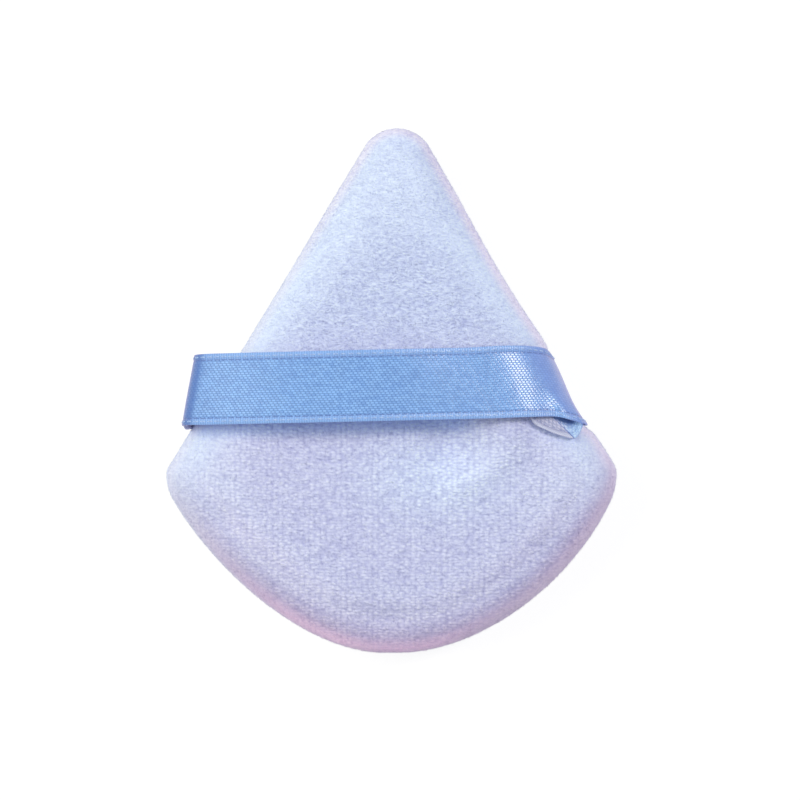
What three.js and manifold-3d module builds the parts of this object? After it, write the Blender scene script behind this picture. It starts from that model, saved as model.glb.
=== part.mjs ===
// Powder puff with a ribbon strap
// Two velour covers are sewn together round a foam core, and a satin ribbon crosses the back as a strap.
// Millimetres. The pad lies on its powder face at z = 0 with the strap side up. +Y points to the narrow
// end and the strap runs along X. The origin is under the middle of the pad's box.

import * as THREE from 'three';
import { mergeVertices } from 'three/addons/utils/BufferGeometryUtils.js';
import Module from 'manifold-3d';

// Pad outline, seen from above
const PAD_LENGTH = 76.3;
const PAD_WIDTH = 65.5;
const NARROW_END_TO_WIDEST = 50.3;
const NARROW_END_RADIUS = 5.5;
const NARROW_END_SHIFT = 0.8;
const NARROW_END_AIM = 11;
const BASE_FLAT = 2;
const BASE_MIDDLE_PULL = 11;

// The two halves of the outline, which differ a little, as the strap pulls at its right end.
// A draw says how far down the side it lies and how far it spreads, as shares of the side, and its depth.
// A draw of negative depth swells the side.
const LEFT_HALF = {
  cornerUpperRadius: 2,
  cornerLowerRadius: 7.7,
  cornerExitAngle: THREE.MathUtils.degToRad(31),
  flankPull: 13,
  draws: [
    { at: 0.45, spread: 0.22, depth: 0.2 },
    { at: 0.66, spread: 0.12, depth: 0.15 },
  ],
};
const RIGHT_HALF = {
  cornerUpperRadius: 3.3,
  cornerLowerRadius: 9.5,
  cornerExitAngle: THREE.MathUtils.degToRad(26),
  flankPull: 14.4,
  draws: [
    { at: 0.36, spread: 0.17, depth: 0.3 },
    { at: 0.61, spread: 0.07, depth: -0.24 },
    { at: 0.82, spread: 0.085, depth: 0.72 },
  ],
};

// Pad section: height over the powder face, crowns, rounded edge and the groove at the seam
const PAD_THICKNESS = 13;
const FRONT_CROWN = 1.3;
const BACK_CROWN = 1.8;
const REST_FLAT_DEPTH = 0.5;
const EDGE_DEPTH = 4.2;
const RIM_ROLL = 1;
const SEAM_GROOVE = 0.6;

// Covers, core and sewing
const COVER_THICKNESS = 1;
const CORE_CLEARANCE = 0.3;
const SEAM_ALLOWANCE = 2.5;
const THREAD_DIAMETER = 0.3;
const THREAD_CLEARANCE = 0.1;
const SEAM_LINE_FROM_WALL = 0.5;
const TURNING_GAP = 24;
const CLOSING_STITCH_LENGTH = 1.5;
const CLOSING_STITCH_BITE = 1.2;
const TACK_WIDTH = 4;
const TACK_FROM_SEAM_LINE = 0.9;
const TACK_BEND_RADIUS = 0.15;
const NEEDLE_HOLE_CLEARANCE = 0.15;

// Ribbon strap
const RIBBON_WIDTH = 10.2;
const RIBBON_THICKNESS = 0.3;
const RIBBON_CLEARANCE = 0.12;
const RIBBON_END_SETBACK = 0.3;
const RIBBON_JOIN_GAP = 0.3;
const RIBBON_STANDOFF = 0.4;
const STRAP_Y = 0.75;
const STRAP_TILT = THREE.MathUtils.degToRad(1.3);
const FINGER_GAP = 5.2;
const STRAP_CREST_X = -5;
const STRAP_BOW_RADIUS = 56;
const SPAN_LEFT = -16;
const SPAN_RIGHT = 10;
const STRAP_RUN_OUT = 4;
const LOOP_OUT_NARROW_SIDE = 6.1;
const LOOP_OUT_BASE_SIDE = 1.45;

// Places on the left loop as shares of its reach and of its rise, from the seam up to the strap
const LOOP_SHAPE = [
  { out: 0.5, rise: 0.07 },
  { out: 1, rise: 0.46 },
  { out: 0.72, rise: 0.86 },
];

// How the right end lies on the rounded edge: degrees round it, and how far it stands off
const RIGHT_END_LAY = [
  { degrees: 82, standoff: 1.2 },
  { degrees: 48, standoff: 0.6 },
  { degrees: 10, standoff: RIBBON_STANDOFF },
];

// Mesh fineness
const NARROW_END_STEPS = 3;
const SIDE_STEPS = 12;
const CORNER_ARC_STEPS = 2;
const BASE_STEPS = 9;
const EDGE_STEPS = 3;
const ROLL_STEPS = 2;
const CROWN_SCALES = [0.25, 0.5, 0.75];
const CROWN_TAPER = 0.6;
const RIBBON_STEPS_PER_POINT = 3;
const SPAN_STEPS = 10;
const THREAD_STEPS = 56;
const THREAD_SEGMENTS = 3;
const STEPS_PER_CLOSING_STITCH = 3;
const TACK_BEND_STEPS = 2;
const HOLE_SIDES = 8;

// Heights and insets that follow from the sizes above
const SEAM_HEIGHT = PAD_THICKNESS / 2;
const SEAM_HALF_GAP = RIBBON_THICKNESS / 2 + RIBBON_CLEARANCE;
const EDGE_START = SEAM_HALF_GAP + RIM_ROLL;
const FRONT_PLATEAU = PAD_THICKNESS - SEAM_HEIGHT - FRONT_CROWN;
const BACK_PLATEAU = SEAM_HEIGHT - BACK_CROWN + REST_FLAT_DEPTH;
const ALLOWANCE_INSET = COVER_THICKNESS + SEAM_ALLOWANCE;
const ALLOWANCE_FACE = SEAM_HALF_GAP + COVER_THICKNESS;
const SEAM_LINE_INSET = COVER_THICKNESS + SEAM_LINE_FROM_WALL;
const TACK_INSET = SEAM_LINE_INSET + TACK_FROM_SEAM_LINE;
const THREAD_TOP = ALLOWANCE_FACE + THREAD_CLEARANCE + THREAD_DIAMETER;
const CORE_INSET = COVER_THICKNESS + CORE_CLEARANCE;
const STRAP_CREST = PAD_THICKNESS + FINGER_GAP + RIBBON_THICKNESS / 2;

const wasm = await Module();
wasm.setup();

// Pad outline

const apex = new THREE.Vector2(NARROW_END_SHIFT, PAD_LENGTH / 2);
const baseMiddle = new THREE.Vector2(0, -PAD_LENGTH / 2);
const widestY = PAD_LENGTH / 2 - NARROW_END_TO_WIDEST;
const wideAim = new THREE.Vector2(0, widestY);

function onCircle(centre, radius, angle) {
  return new THREE.Vector2(centre.x + radius * Math.cos(angle), centre.y + radius * Math.sin(angle));
}

function sideDraw(draws, share) {
  const pull = ({ at, spread, depth }) => depth * Math.exp(-(((share - at) / spread) ** 2));
  return draws.reduce((sum, draw) => sum + pull(draw), 0);
}

// Right half of an outline, from the narrow end down to the end of the base's flat stretch.
// Each entry has its point, and the aim that the point moves towards when the outline is drawn in.
function halfOutline(narrowShift, sizes) {
  const { cornerUpperRadius, cornerLowerRadius, cornerExitAngle, flankPull, draws } = sizes;
  const apexCentre = new THREE.Vector2(narrowShift, apex.y - NARROW_END_RADIUS);
  const narrowAim = new THREE.Vector2(narrowShift, apex.y - NARROW_END_AIM);
  const upperCentre = new THREE.Vector2(PAD_WIDTH / 2 - cornerUpperRadius, widestY);
  const lowerCentre = new THREE.Vector2(PAD_WIDTH / 2 - cornerLowerRadius, widestY);
  const between = upperCentre.clone().sub(apexCentre);
  const radiusShare = (NARROW_END_RADIUS - cornerUpperRadius) / between.length();
  const sideNormal = between.angle() - 2 * Math.PI + Math.acos(radiusShare);
  const sideTop = onCircle(apexCentre, NARROW_END_RADIUS, sideNormal);
  const sideFoot = onCircle(upperCentre, cornerUpperRadius, sideNormal);
  const inward = new THREE.Vector2(-Math.cos(sideNormal), -Math.sin(sideNormal));
  const half = [];

  for (let i = 0; i < NARROW_END_STEPS; i++) {
    const angle = THREE.MathUtils.lerp(Math.PI / 2, sideNormal, i / NARROW_END_STEPS);
    half.push({ point: onCircle(apexCentre, NARROW_END_RADIUS, angle), aim: narrowAim });
  }
  for (let i = 0; i < SIDE_STEPS; i++) {
    const share = i / SIDE_STEPS;
    const point = sideTop.clone().lerp(sideFoot, share).addScaledVector(inward, sideDraw(draws, share));
    half.push({ point, aim: narrowAim.clone().lerp(wideAim, share) });
  }
  for (let i = 0; i < CORNER_ARC_STEPS; i++) {
    const angle = sideNormal * (1 - i / CORNER_ARC_STEPS);
    half.push({ point: onCircle(upperCentre, cornerUpperRadius, angle), aim: wideAim });
  }
  for (let i = 0; i < CORNER_ARC_STEPS; i++) {
    const angle = -cornerExitAngle * (i / CORNER_ARC_STEPS);
    half.push({ point: onCircle(lowerCentre, cornerLowerRadius, angle), aim: wideAim });
  }
  const flank = onCircle(lowerCentre, cornerLowerRadius, -cornerExitAngle);
  const leaving = new THREE.Vector2(-Math.sin(cornerExitAngle), -Math.cos(cornerExitAngle));
  const flatEnd = new THREE.Vector2(BASE_FLAT / 2, baseMiddle.y);
  const base = new THREE.CubicBezierCurve(
    flank,
    flank.clone().addScaledVector(leaving, flankPull),
    flatEnd.clone().add(new THREE.Vector2(BASE_MIDDLE_PULL, 0)),
    flatEnd,
  );
  for (let i = 0; i <= BASE_STEPS; i++) {
    half.push({ point: base.getPoint(i / BASE_STEPS), aim: wideAim });
  }
  return half;
}

function mirrored({ point, aim }) {
  return {
    point: new THREE.Vector2(-point.x, point.y),
    aim: new THREE.Vector2(-aim.x, aim.y),
  };
}

// The whole outline runs counter-clockwise from the narrow end: down the left half and up the right half.
function wholeOutline() {
  const right = halfOutline(NARROW_END_SHIFT, RIGHT_HALF);
  const left = halfOutline(-NARROW_END_SHIFT, LEFT_HALF).map(mirrored);
  const bottom = { point: baseMiddle, aim: wideAim };
  return [...left, bottom, ...right.slice(1).reverse()];
}

const outline = wholeOutline();
const padCentre = outline
  .reduce((sum, { point }) => sum.add(point), new THREE.Vector2())
  .divideScalar(outline.length);

function towards(point, aim, distance) {
  return point.clone().add(aim.clone().sub(point).setLength(distance));
}

function ring(inset, height) {
  return outline.map(({ point, aim }) => {
    const place = towards(point, aim, inset);
    return new THREE.Vector3(place.x, place.y, height);
  });
}

function scaledRing(inset, scale, height) {
  return ring(inset, height).map((p) => new THREE.Vector3(
    padCentre.x + (p.x - padCentre.x) * scale,
    padCentre.y + (p.y - padCentre.y) * scale,
    height,
  ));
}

// Where the rim stands at a given y, on the right for side 1 and on the left for side -1
function rimX(y, side) {
  for (let i = 0; i < outline.length; i++) {
    const a = outline[i].point;
    const b = outline[(i + 1) % outline.length].point;
    const crosses = (a.y - y) * (b.y - y) <= 0 && a.y !== b.y;
    if (crosses && (a.x + b.x) * side > 0) {
      return THREE.MathUtils.mapLinear(y, a.y, b.y, a.x, b.x);
    }
  }
  throw new Error(`the outline has no rim at y ${y}`);
}

// Closed skins from rings

function closedSkin(rings) {
  const points = [];
  const triangles = [];
  const starts = rings.map((one) => {
    const start = points.length;
    points.push(...one);
    return start;
  });
  for (let r = 0; r + 1 < rings.length; r++) {
    const count = Math.max(rings[r].length, rings[r + 1].length);
    const inner = (i) => starts[r] + (rings[r].length === 1 ? 0 : i % count);
    const outer = (i) => starts[r + 1] + (rings[r + 1].length === 1 ? 0 : i % count);
    for (let i = 0; i < count; i++) {
      if (rings[r + 1].length > 1) triangles.push(inner(i), outer(i), outer(i + 1));
      if (rings[r].length > 1) triangles.push(inner(i), outer(i + 1), inner(i + 1));
    }
  }
  const geometry = new THREE.BufferGeometry().setFromPoints(points);
  geometry.setIndex(triangles);
  geometry.computeVertexNormals();
  return geometry;
}

function crownShare(scale) {
  return THREE.MathUtils.smoothstep(1 - scale, 0, CROWN_TAPER);
}

// Rings of one face of the pad from its middle out to its rim, with heights counted away from the seam.
// The face is flat above limit, where the pad rests.
function faceRings({ inset, start, plateau, crown, limit = Infinity, depth }) {
  const height = (value) => Math.min(value, limit);
  const edge = inset + depth;
  const rings = [[new THREE.Vector3(padCentre.x, padCentre.y, height(plateau + crown))]];
  for (const scale of CROWN_SCALES) {
    rings.push(scaledRing(edge, scale, height(plateau + crown * crownShare(scale))));
  }
  for (let i = EDGE_STEPS; i >= 0; i--) {
    const angle = (Math.PI / 2) * (i / EDGE_STEPS);
    const rise = (plateau - start) * Math.sin(angle);
    rings.push(ring(inset + depth * (1 - Math.cos(angle)), height(start + rise)));
  }
  return rings;
}

// Rings of a cover, from the middle of its outside, round the rim and the turned-in allowance, to its inside
function coverRings(plateau, crown, limit) {
  const outside = faceRings({ inset: 0, start: EDGE_START, plateau, crown, limit, depth: EDGE_DEPTH });
  const inside = faceRings({
    inset: COVER_THICKNESS,
    start: ALLOWANCE_FACE,
    plateau: plateau - COVER_THICKNESS,
    crown,
    limit: limit - COVER_THICKNESS,
    depth: EDGE_DEPTH - COVER_THICKNESS,
  });
  const rolledIn = [];
  for (let i = 1; i <= ROLL_STEPS; i++) {
    const angle = (Math.PI / 2) * (i / ROLL_STEPS);
    rolledIn.push(ring(SEAM_GROOVE * (1 - Math.cos(angle)), EDGE_START - RIM_ROLL * Math.sin(angle)));
  }
  const allowanceEnd = [ring(ALLOWANCE_INSET, SEAM_HALF_GAP), ring(ALLOWANCE_INSET, ALLOWANCE_FACE)];
  return [...outside, ...rolledIn, ...allowanceEnd, ...inside.reverse()];
}

function raised(rings, direction) {
  return rings.map((one) => one.map((p) => new THREE.Vector3(p.x, p.y, SEAM_HEIGHT + direction * p.z)));
}

function frontCover() {
  return closedSkin(raised(coverRings(FRONT_PLATEAU, FRONT_CROWN, Infinity), 1));
}

function backCover() {
  return closedSkin(raised(coverRings(BACK_PLATEAU, BACK_CROWN, SEAM_HEIGHT), -1).reverse());
}

// The core fills both covers and has a waist that clears the allowances and the seam's threads.
function foamCore() {
  const waist = THREAD_TOP + THREAD_CLEARANCE;
  const face = { inset: CORE_INSET, start: waist, depth: EDGE_DEPTH - COVER_THICKNESS };
  const upper = faceRings({ ...face, plateau: FRONT_PLATEAU - CORE_INSET, crown: FRONT_CROWN });
  const lower = faceRings({
    ...face, plateau: BACK_PLATEAU - CORE_INSET, crown: BACK_CROWN, limit: SEAM_HEIGHT - CORE_INSET,
  });
  const waistRing = ring(ALLOWANCE_INSET + CORE_CLEARANCE, waist);
  const top = raised([...upper, waistRing], 1);
  const bottom = raised([...lower, waistRing], -1).reverse();
  return closedSkin([...top, ...bottom]);
}

// Threads of the seam

// The outline once round from the middle of the base, and how far round it each point lies
const baseIndex = outline.findIndex(({ point }) => point === baseMiddle);
const roundFromBase = [...outline.slice(baseIndex), ...outline.slice(0, baseIndex + 1)];
const distanceRound = [0];
for (let i = 1; i < roundFromBase.length; i++) {
  const step = roundFromBase[i].point.distanceTo(roundFromBase[i - 1].point);
  distanceRound.push(distanceRound[i - 1] + step);
}
const perimeter = distanceRound.at(-1);

// A place on the seam, a distance round the outline from the middle of the base and an inset from the rim
function seamPlace(distance, inset, height) {
  const along = THREE.MathUtils.euclideanModulo(distance, perimeter);
  const i = Math.min(distanceRound.findLastIndex((length) => length <= along), outline.length - 1);
  const [from, to] = [roundFromBase[i], roundFromBase[i + 1]];
  const share = (along - distanceRound[i]) / (distanceRound[i + 1] - distanceRound[i]);
  const point = from.point.clone().lerp(to.point, share);
  const aim = from.aim.clone().lerp(to.aim, share);
  const place = towards(point, aim, inset);
  return new THREE.Vector3(place.x, place.y, height);
}

function threadAlong(points, steps) {
  const section = new THREE.Shape().absarc(0, 0, THREAD_DIAMETER / 2, 0, 2 * Math.PI);
  return new THREE.ExtrudeGeometry(section, {
    extrudePath: new THREE.CatmullRomCurve3(points),
    steps,
    curveSegments: THREAD_SEGMENTS,
    bevelEnabled: false,
  });
}

// One thread of the lockstitch, from one end of the turning gap round the pad to the other
function seamThread(direction) {
  const height = SEAM_HEIGHT + direction * (THREAD_TOP - THREAD_DIAMETER / 2);
  const points = [];
  for (let i = 0; i <= THREAD_STEPS; i++) {
    const distance = THREE.MathUtils.lerp(TURNING_GAP / 2, perimeter - TURNING_GAP / 2, i / THREAD_STEPS);
    points.push(seamPlace(distance, SEAM_LINE_INSET, height));
  }
  return threadAlong(points, THREAD_STEPS);
}

// The hand-sewn ladder that closes the turning gap, lying between the two allowances
function closingStitch() {
  const count = Math.max(2, Math.round(TURNING_GAP / CLOSING_STITCH_LENGTH));
  const points = [];
  for (let i = 0; i <= count; i++) {
    const distance = THREE.MathUtils.lerp(-TURNING_GAP / 2, TURNING_GAP / 2, i / count);
    const inset = SEAM_LINE_INSET + (i % 2 === 0 ? 0 : CLOSING_STITCH_BITE);
    points.push(seamPlace(distance, inset, SEAM_HEIGHT));
  }
  return threadAlong(points, count * STEPS_PER_CLOSING_STITCH);
}

// Ribbon strap

function strapY(x) {
  return STRAP_Y + x * Math.tan(STRAP_TILT);
}

function strapHeight(x) {
  return STRAP_CREST - (x - STRAP_CREST_X) ** 2 / (2 * STRAP_BOW_RADIUS);
}

function archPoint(x, across) {
  return new THREE.Vector3(x, strapY(x) + across, strapHeight(x));
}

// The end of the ribbon that lies between the allowances, from its cut end to the seam's mouth
function tailPoints(side, y) {
  const rim = rimX(y, side);
  const tail = rim - side * (ALLOWANCE_INSET - RIBBON_END_SETBACK);
  const mouth = rim - side * SEAM_GROOVE;
  return [new THREE.Vector3(tail, y, SEAM_HEIGHT), new THREE.Vector3(mouth, y, SEAM_HEIGHT)];
}

// The left end leaves the seam in a loop that stands off the rim, more on the ribbon's narrow-end side.
function leftEndPoints(across) {
  const y = strapY(rimX(STRAP_Y, -1)) + across;
  const rim = rimX(y, -1);
  const share = across / RIBBON_WIDTH + 0.5;
  const out = THREE.MathUtils.lerp(LOOP_OUT_BASE_SIDE, LOOP_OUT_NARROW_SIDE, share);
  const runOut = SPAN_LEFT - RIBBON_JOIN_GAP - STRAP_RUN_OUT;
  const top = strapHeight(runOut) - SEAM_HEIGHT;
  const loopPoints = LOOP_SHAPE.map((place) => new THREE.Vector3(
    rim - out * place.out, y, SEAM_HEIGHT + top * place.rise,
  ));
  return [
    ...tailPoints(-1, y),
    ...loopPoints,
    archPoint(runOut, across),
    archPoint(runOut + STRAP_RUN_OUT / 2, across),
    archPoint(runOut + STRAP_RUN_OUT, across),
  ];
}

// The right end lies over the rim and turns in at the seam.
function rightEndPoints(across) {
  const y = strapY(rimX(STRAP_Y, 1)) + across;
  const rim = rimX(y, 1);
  const overRim = RIGHT_END_LAY.map(({ degrees, standoff }) => {
    const angle = THREE.MathUtils.degToRad(degrees);
    const out = standoff * Math.cos(angle) - EDGE_DEPTH * (1 - Math.cos(angle));
    const rise = EDGE_START + (FRONT_PLATEAU - EDGE_START + standoff) * Math.sin(angle);
    return new THREE.Vector3(rim + out, y, SEAM_HEIGHT + rise);
  });
  const start = SPAN_RIGHT + RIBBON_JOIN_GAP;
  const halfDownRoll = new THREE.Vector3(rim + RIBBON_STANDOFF, y, SEAM_HEIGHT + EDGE_START - RIM_ROLL / 2);
  const underRoll = new THREE.Vector3(rim, y, SEAM_HEIGHT + RIBBON_CLEARANCE);
  return [
    archPoint(start, across),
    archPoint(start + STRAP_RUN_OUT / 2, across),
    ...overRim,
    halfDownRoll,
    underRoll,
    ...tailPoints(1, y).reverse(),
  ];
}

// A closed strip of the ribbon's thickness over rows of points, one row for each place across its width
function ribbonSolid(rows) {
  const count = rows[0].length;
  const half = RIBBON_THICKNESS / 2;
  const faces = [1, -1].map((direction) => rows.map((row, r) => row.map((point, i) => {
    const along = row[Math.min(i + 1, count - 1)].clone().sub(row[Math.max(i - 1, 0)]);
    const far = rows[Math.min(r + 1, rows.length - 1)][i];
    const near = rows[Math.max(r - 1, 0)][i];
    const normal = along.cross(far.clone().sub(near)).normalize();
    return point.clone().addScaledVector(normal, direction * half);
  })));
  const sections = [];
  for (let i = 0; i < count; i++) {
    const upper = faces[0].map((row) => row[i]);
    const lower = faces[1].map((row) => row[i]);
    sections.push([...upper, ...lower.reverse()]);
  }
  const middle = (section) => section
    .reduce((sum, p) => sum.add(p), new THREE.Vector3())
    .divideScalar(section.length);
  const first = [middle(sections[0])];
  const last = [middle(sections[count - 1])];
  return closedSkin([first, ...sections, last]);
}

const RIBBON_ROWS = [-RIBBON_WIDTH / 2, 0, RIBBON_WIDTH / 2];

function ribbonEnd(endPoints) {
  const rows = RIBBON_ROWS.map((across) => {
    const points = endPoints(across);
    const curve = new THREE.CatmullRomCurve3(points, false, 'centripetal');
    return curve.getPoints((points.length - 1) * RIBBON_STEPS_PER_POINT);
  });
  return ribbonSolid(rows);
}

function ribbonSpan() {
  const rows = RIBBON_ROWS.map((across) => {
    const row = [];
    for (let i = 0; i <= SPAN_STEPS; i++) {
      row.push(archPoint(THREE.MathUtils.lerp(SPAN_LEFT, SPAN_RIGHT, i / SPAN_STEPS), across));
    }
    return row;
  });
  return ribbonSolid(rows);
}

// Tack loops and their needle holes

// Middle of a ribbon end's tack, and the direction of the seam there
function tackPlace(side) {
  const y = strapY(rimX(STRAP_Y, side));
  const reach = TACK_WIDTH / 2;
  const upper = new THREE.Vector3(rimX(y + reach, side), y + reach, SEAM_HEIGHT);
  const lower = new THREE.Vector3(rimX(y - reach, side), y - reach, SEAM_HEIGHT);
  const middle = upper.clone().lerp(lower, 0.5);
  middle.x -= side * TACK_INSET;
  return { middle, along: upper.sub(lower).normalize() };
}

function roundedBox(path, width, height, radius) {
  const x = width / 2 - radius;
  const y = height / 2 - radius;
  path.absarc(x, y, radius, 0, Math.PI / 2);
  path.absarc(-x, y, radius, Math.PI / 2, Math.PI);
  path.absarc(-x, -y, radius, Math.PI, 1.5 * Math.PI);
  path.absarc(x, -y, radius, 1.5 * Math.PI, 2 * Math.PI);
  path.closePath();
  return path;
}

// A loop of thread that goes down through one needle hole and up through the other, round both allowances
function tackLoop() {
  const height = 2 * THREAD_TOP;
  const bothSides = 2 * THREAD_DIAMETER;
  const outside = roundedBox(new THREE.Shape(), TACK_WIDTH, height, TACK_BEND_RADIUS + THREAD_DIAMETER);
  const inside = roundedBox(new THREE.Path(), TACK_WIDTH - bothSides, height - bothSides, TACK_BEND_RADIUS);
  outside.holes.push(inside);
  const geometry = new THREE.ExtrudeGeometry(outside, {
    depth: THREAD_DIAMETER, bevelEnabled: false, curveSegments: TACK_BEND_STEPS,
  });
  return geometry.translate(0, 0, -THREAD_DIAMETER / 2).rotateX(Math.PI / 2);
}

function needleHoles(side) {
  const { middle, along } = tackPlace(side);
  const radius = THREAD_DIAMETER / Math.SQRT2 + NEEDLE_HOLE_CLEARANCE;
  const reach = (TACK_WIDTH - THREAD_DIAMETER) / 2;
  return [-reach, reach].map((offset) => {
    const place = middle.clone().addScaledVector(along, offset);
    const pin = new THREE.CylinderGeometry(radius, radius, 2 * THREAD_TOP, HOLE_SIDES);
    return pin.rotateX(Math.PI / 2).translate(place.x, place.y, place.z);
  });
}

// Booleans

function toSolid(geometry) {
  const bare = geometry.clone();
  bare.deleteAttribute('normal');
  bare.deleteAttribute('uv');
  const merged = mergeVertices(bare);
  return new wasm.Manifold(new wasm.Mesh({
    numProp: 3,
    vertProperties: Float32Array.from(merged.attributes.position.array),
    triVerts: Uint32Array.from(merged.index.array),
  }));
}

function cutAway(geometry, cutters) {
  const cut = cutters.reduce((solid, cutter) => solid.subtract(toSolid(cutter)), toSolid(geometry));
  const mesh = cut.getMesh();
  const result = new THREE.BufferGeometry();
  result.setAttribute('position', new THREE.BufferAttribute(mesh.vertProperties, 3));
  result.setIndex(new THREE.BufferAttribute(mesh.triVerts, 1));
  result.computeVertexNormals();
  return result;
}

// Assembly

const puff = new THREE.Group();
puff.name = 'powder_puff';

function add(name, geometry, finish) {
  const mesh = new THREE.Mesh(geometry, new THREE.MeshStandardMaterial({ metalness: 0, ...finish }));
  mesh.name = name;
  puff.add(mesh);
  return mesh;
}

const VELOUR = { color: 0xc5cfeb, roughness: 0.95 };
const FOAM = { color: 0xf0ede4, roughness: 0.9 };
const SATIN = { color: 0x85ace3, roughness: 0.4 };
const THREAD = { color: 0xb4c4e6, roughness: 0.7 };

const leftHoles = needleHoles(-1);
const rightHoles = needleHoles(1);

add('front_panel', cutAway(frontCover(), [...leftHoles, ...rightHoles]), VELOUR);
add('back_panel', cutAway(backCover(), [...leftHoles, ...rightHoles]), VELOUR);
add('foam_core', foamCore(), FOAM);
add('needle_thread', seamThread(1), THREAD);
add('bobbin_thread', seamThread(-1), THREAD);
add('closing_stitch', closingStitch(), THREAD);
add('ribbon_left_end', cutAway(ribbonEnd(leftEndPoints), leftHoles), SATIN);
add('ribbon_span', ribbonSpan(), SATIN);
add('ribbon_right_end', cutAway(ribbonEnd(rightEndPoints), rightHoles), SATIN);

for (const [name, side] of [['left_tack', -1], ['right_tack', 1]]) {
  const { middle, along } = tackPlace(side);
  const tack = add(name, tackLoop(), THREAD);
  tack.position.copy(middle);
  tack.rotation.z = Math.atan2(along.y, along.x);
}

export default puff;
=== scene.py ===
import math

import bpy
import numpy as np
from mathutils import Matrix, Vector
from mathutils.geometry import delaunay_2d_cdt
from mathutils.kdtree import KDTree


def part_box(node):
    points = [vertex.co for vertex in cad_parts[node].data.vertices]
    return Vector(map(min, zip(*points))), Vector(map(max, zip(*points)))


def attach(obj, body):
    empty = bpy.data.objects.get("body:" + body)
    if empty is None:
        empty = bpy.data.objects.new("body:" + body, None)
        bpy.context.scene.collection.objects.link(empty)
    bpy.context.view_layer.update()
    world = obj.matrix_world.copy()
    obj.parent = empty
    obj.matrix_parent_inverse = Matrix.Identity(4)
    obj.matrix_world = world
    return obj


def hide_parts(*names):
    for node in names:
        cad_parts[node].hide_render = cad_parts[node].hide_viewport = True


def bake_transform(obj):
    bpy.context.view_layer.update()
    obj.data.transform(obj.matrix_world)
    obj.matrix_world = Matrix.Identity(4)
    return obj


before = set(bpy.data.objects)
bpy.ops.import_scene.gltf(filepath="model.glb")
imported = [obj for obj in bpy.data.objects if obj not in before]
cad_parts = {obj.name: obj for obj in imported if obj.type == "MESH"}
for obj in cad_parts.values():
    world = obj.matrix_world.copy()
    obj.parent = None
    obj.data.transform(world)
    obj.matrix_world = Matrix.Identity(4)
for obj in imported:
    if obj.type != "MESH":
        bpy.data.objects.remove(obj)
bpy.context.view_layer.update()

MM = 0.001

# Sizes taken from the frame, in millimetres
front_low, front_high = (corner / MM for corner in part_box("front_panel"))
back_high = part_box("back_panel")[1] / MM
PAD_WIDTH = front_high.x - front_low.x
PAD_LENGTH = front_high.y - front_low.y
PAD_TOP = front_high.z
SEAM_HEIGHT = (front_low.z + back_high.z) / 2
SEAM_HALF_GAP = (front_low.z - back_high.z) / 2

# Cells along each side of a table of random numbers, which then repeats
NOISE_CELLS = 256

# Pad outline, seen from above, in millimetres as all the sizes below
NARROW_END_TO_WIDEST = 50.3
NARROW_END_RADIUS = 5.5
NARROW_END_SHIFT = 0.8
NARROW_END_AIM = 11
BASE_FLAT = 2
BASE_MIDDLE_PULL = 11
LEFT_HALF = {
    "corner_upper_radius": 2,
    "corner_lower_radius": 7.7,
    "corner_exit_angle": math.radians(31),
    "flank_pull": 13,
    "draws": [(0.45, 0.22, 0.2), (0.66, 0.12, 0.15)],
}
RIGHT_HALF = {
    "corner_upper_radius": 3.3,
    "corner_lower_radius": 9.5,
    "corner_exit_angle": math.radians(26),
    "flank_pull": 14.4,
    "draws": [(0.36, 0.17, 0.3), (0.61, 0.07, -0.24), (0.82, 0.085, 0.72)],
}
OUTLINE_STEPS = 840
CURVE_STEPS = 120

# Pad section
FRONT_CROWN = 1.3
BACK_CROWN = 1.8
REST_FLAT_DEPTH = 0.5
EDGE_DEPTH = 4.2
EDGE_STEPS = 24
RIM_ROLL = 1
ROLL_STEPS = 6
SEAM_GROOVE = 0.6
LIP_HALF_GAP = 0.05
MOUTH_FADE = 1.2
COVER_THICKNESS = 1
SEAM_ALLOWANCE = 2.5
ALLOWANCE_TURN = 0.4
INSIDE_SHOULDER_INSET = 0.6
INSIDE_SHOULDER_DROP = 0.8
FRONT_PITCH = 0.2
BACK_PITCH = 0.32
INSIDE_PITCH = 1.5
FILL_MARGIN = 0.7
FILL_REACH = 20
FOAM_CLEARANCE = 0.3
FOAM_STEPS = 210

# Dome of a membrane that is held at the outline and blown up from below
DOME_PITCH = 0.8
DOME_MARGIN = 2
DOME_ROUNDS = 6000

# Swelling of the covers over their filling
SKIN_STEPS = 120
SKIN_ANGLES = [90, 65, 40, 18, 0]
SKIN_PITCH = 2
SWELL_SCALE = 20
SWELL_PRESSURE = 4
SWELL_FRAMES = 20
SWELL_STIFFNESS = 120
SWELL_START = 0.3
SWELL_CAP = 0.7
SWELL_REACH = 2

# Marks that fingertips left in the front cover, with places in the plan and spreads along X and Y
DENT_PLACE = (8.6, -7.6)
DENT_SPREAD = (4, 3.4)
DENT_DEPTH = 1.9
BUMP_PLACE = (16.8, -5.4)
BUMP_SPREAD = (3, 2.6)
BUMP_HEIGHT = 0.9
RIDGE_START = (18, -5)
RIDGE_DIRECTION = (-0.816, -0.578)
RIDGE_LENGTH = 15
RIDGE_OFFSET = 2.6
RIDGE_SPREAD = 2.2
RIDGE_HEIGHT = 0.65
RIDGE_RISE = (-0.1, 0.25)
RIDGE_FALL = (0.7, 1.15)
PRESSED_PLACE = (7, -12)
PRESSED_SPREAD = (11, 6.5)

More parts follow.
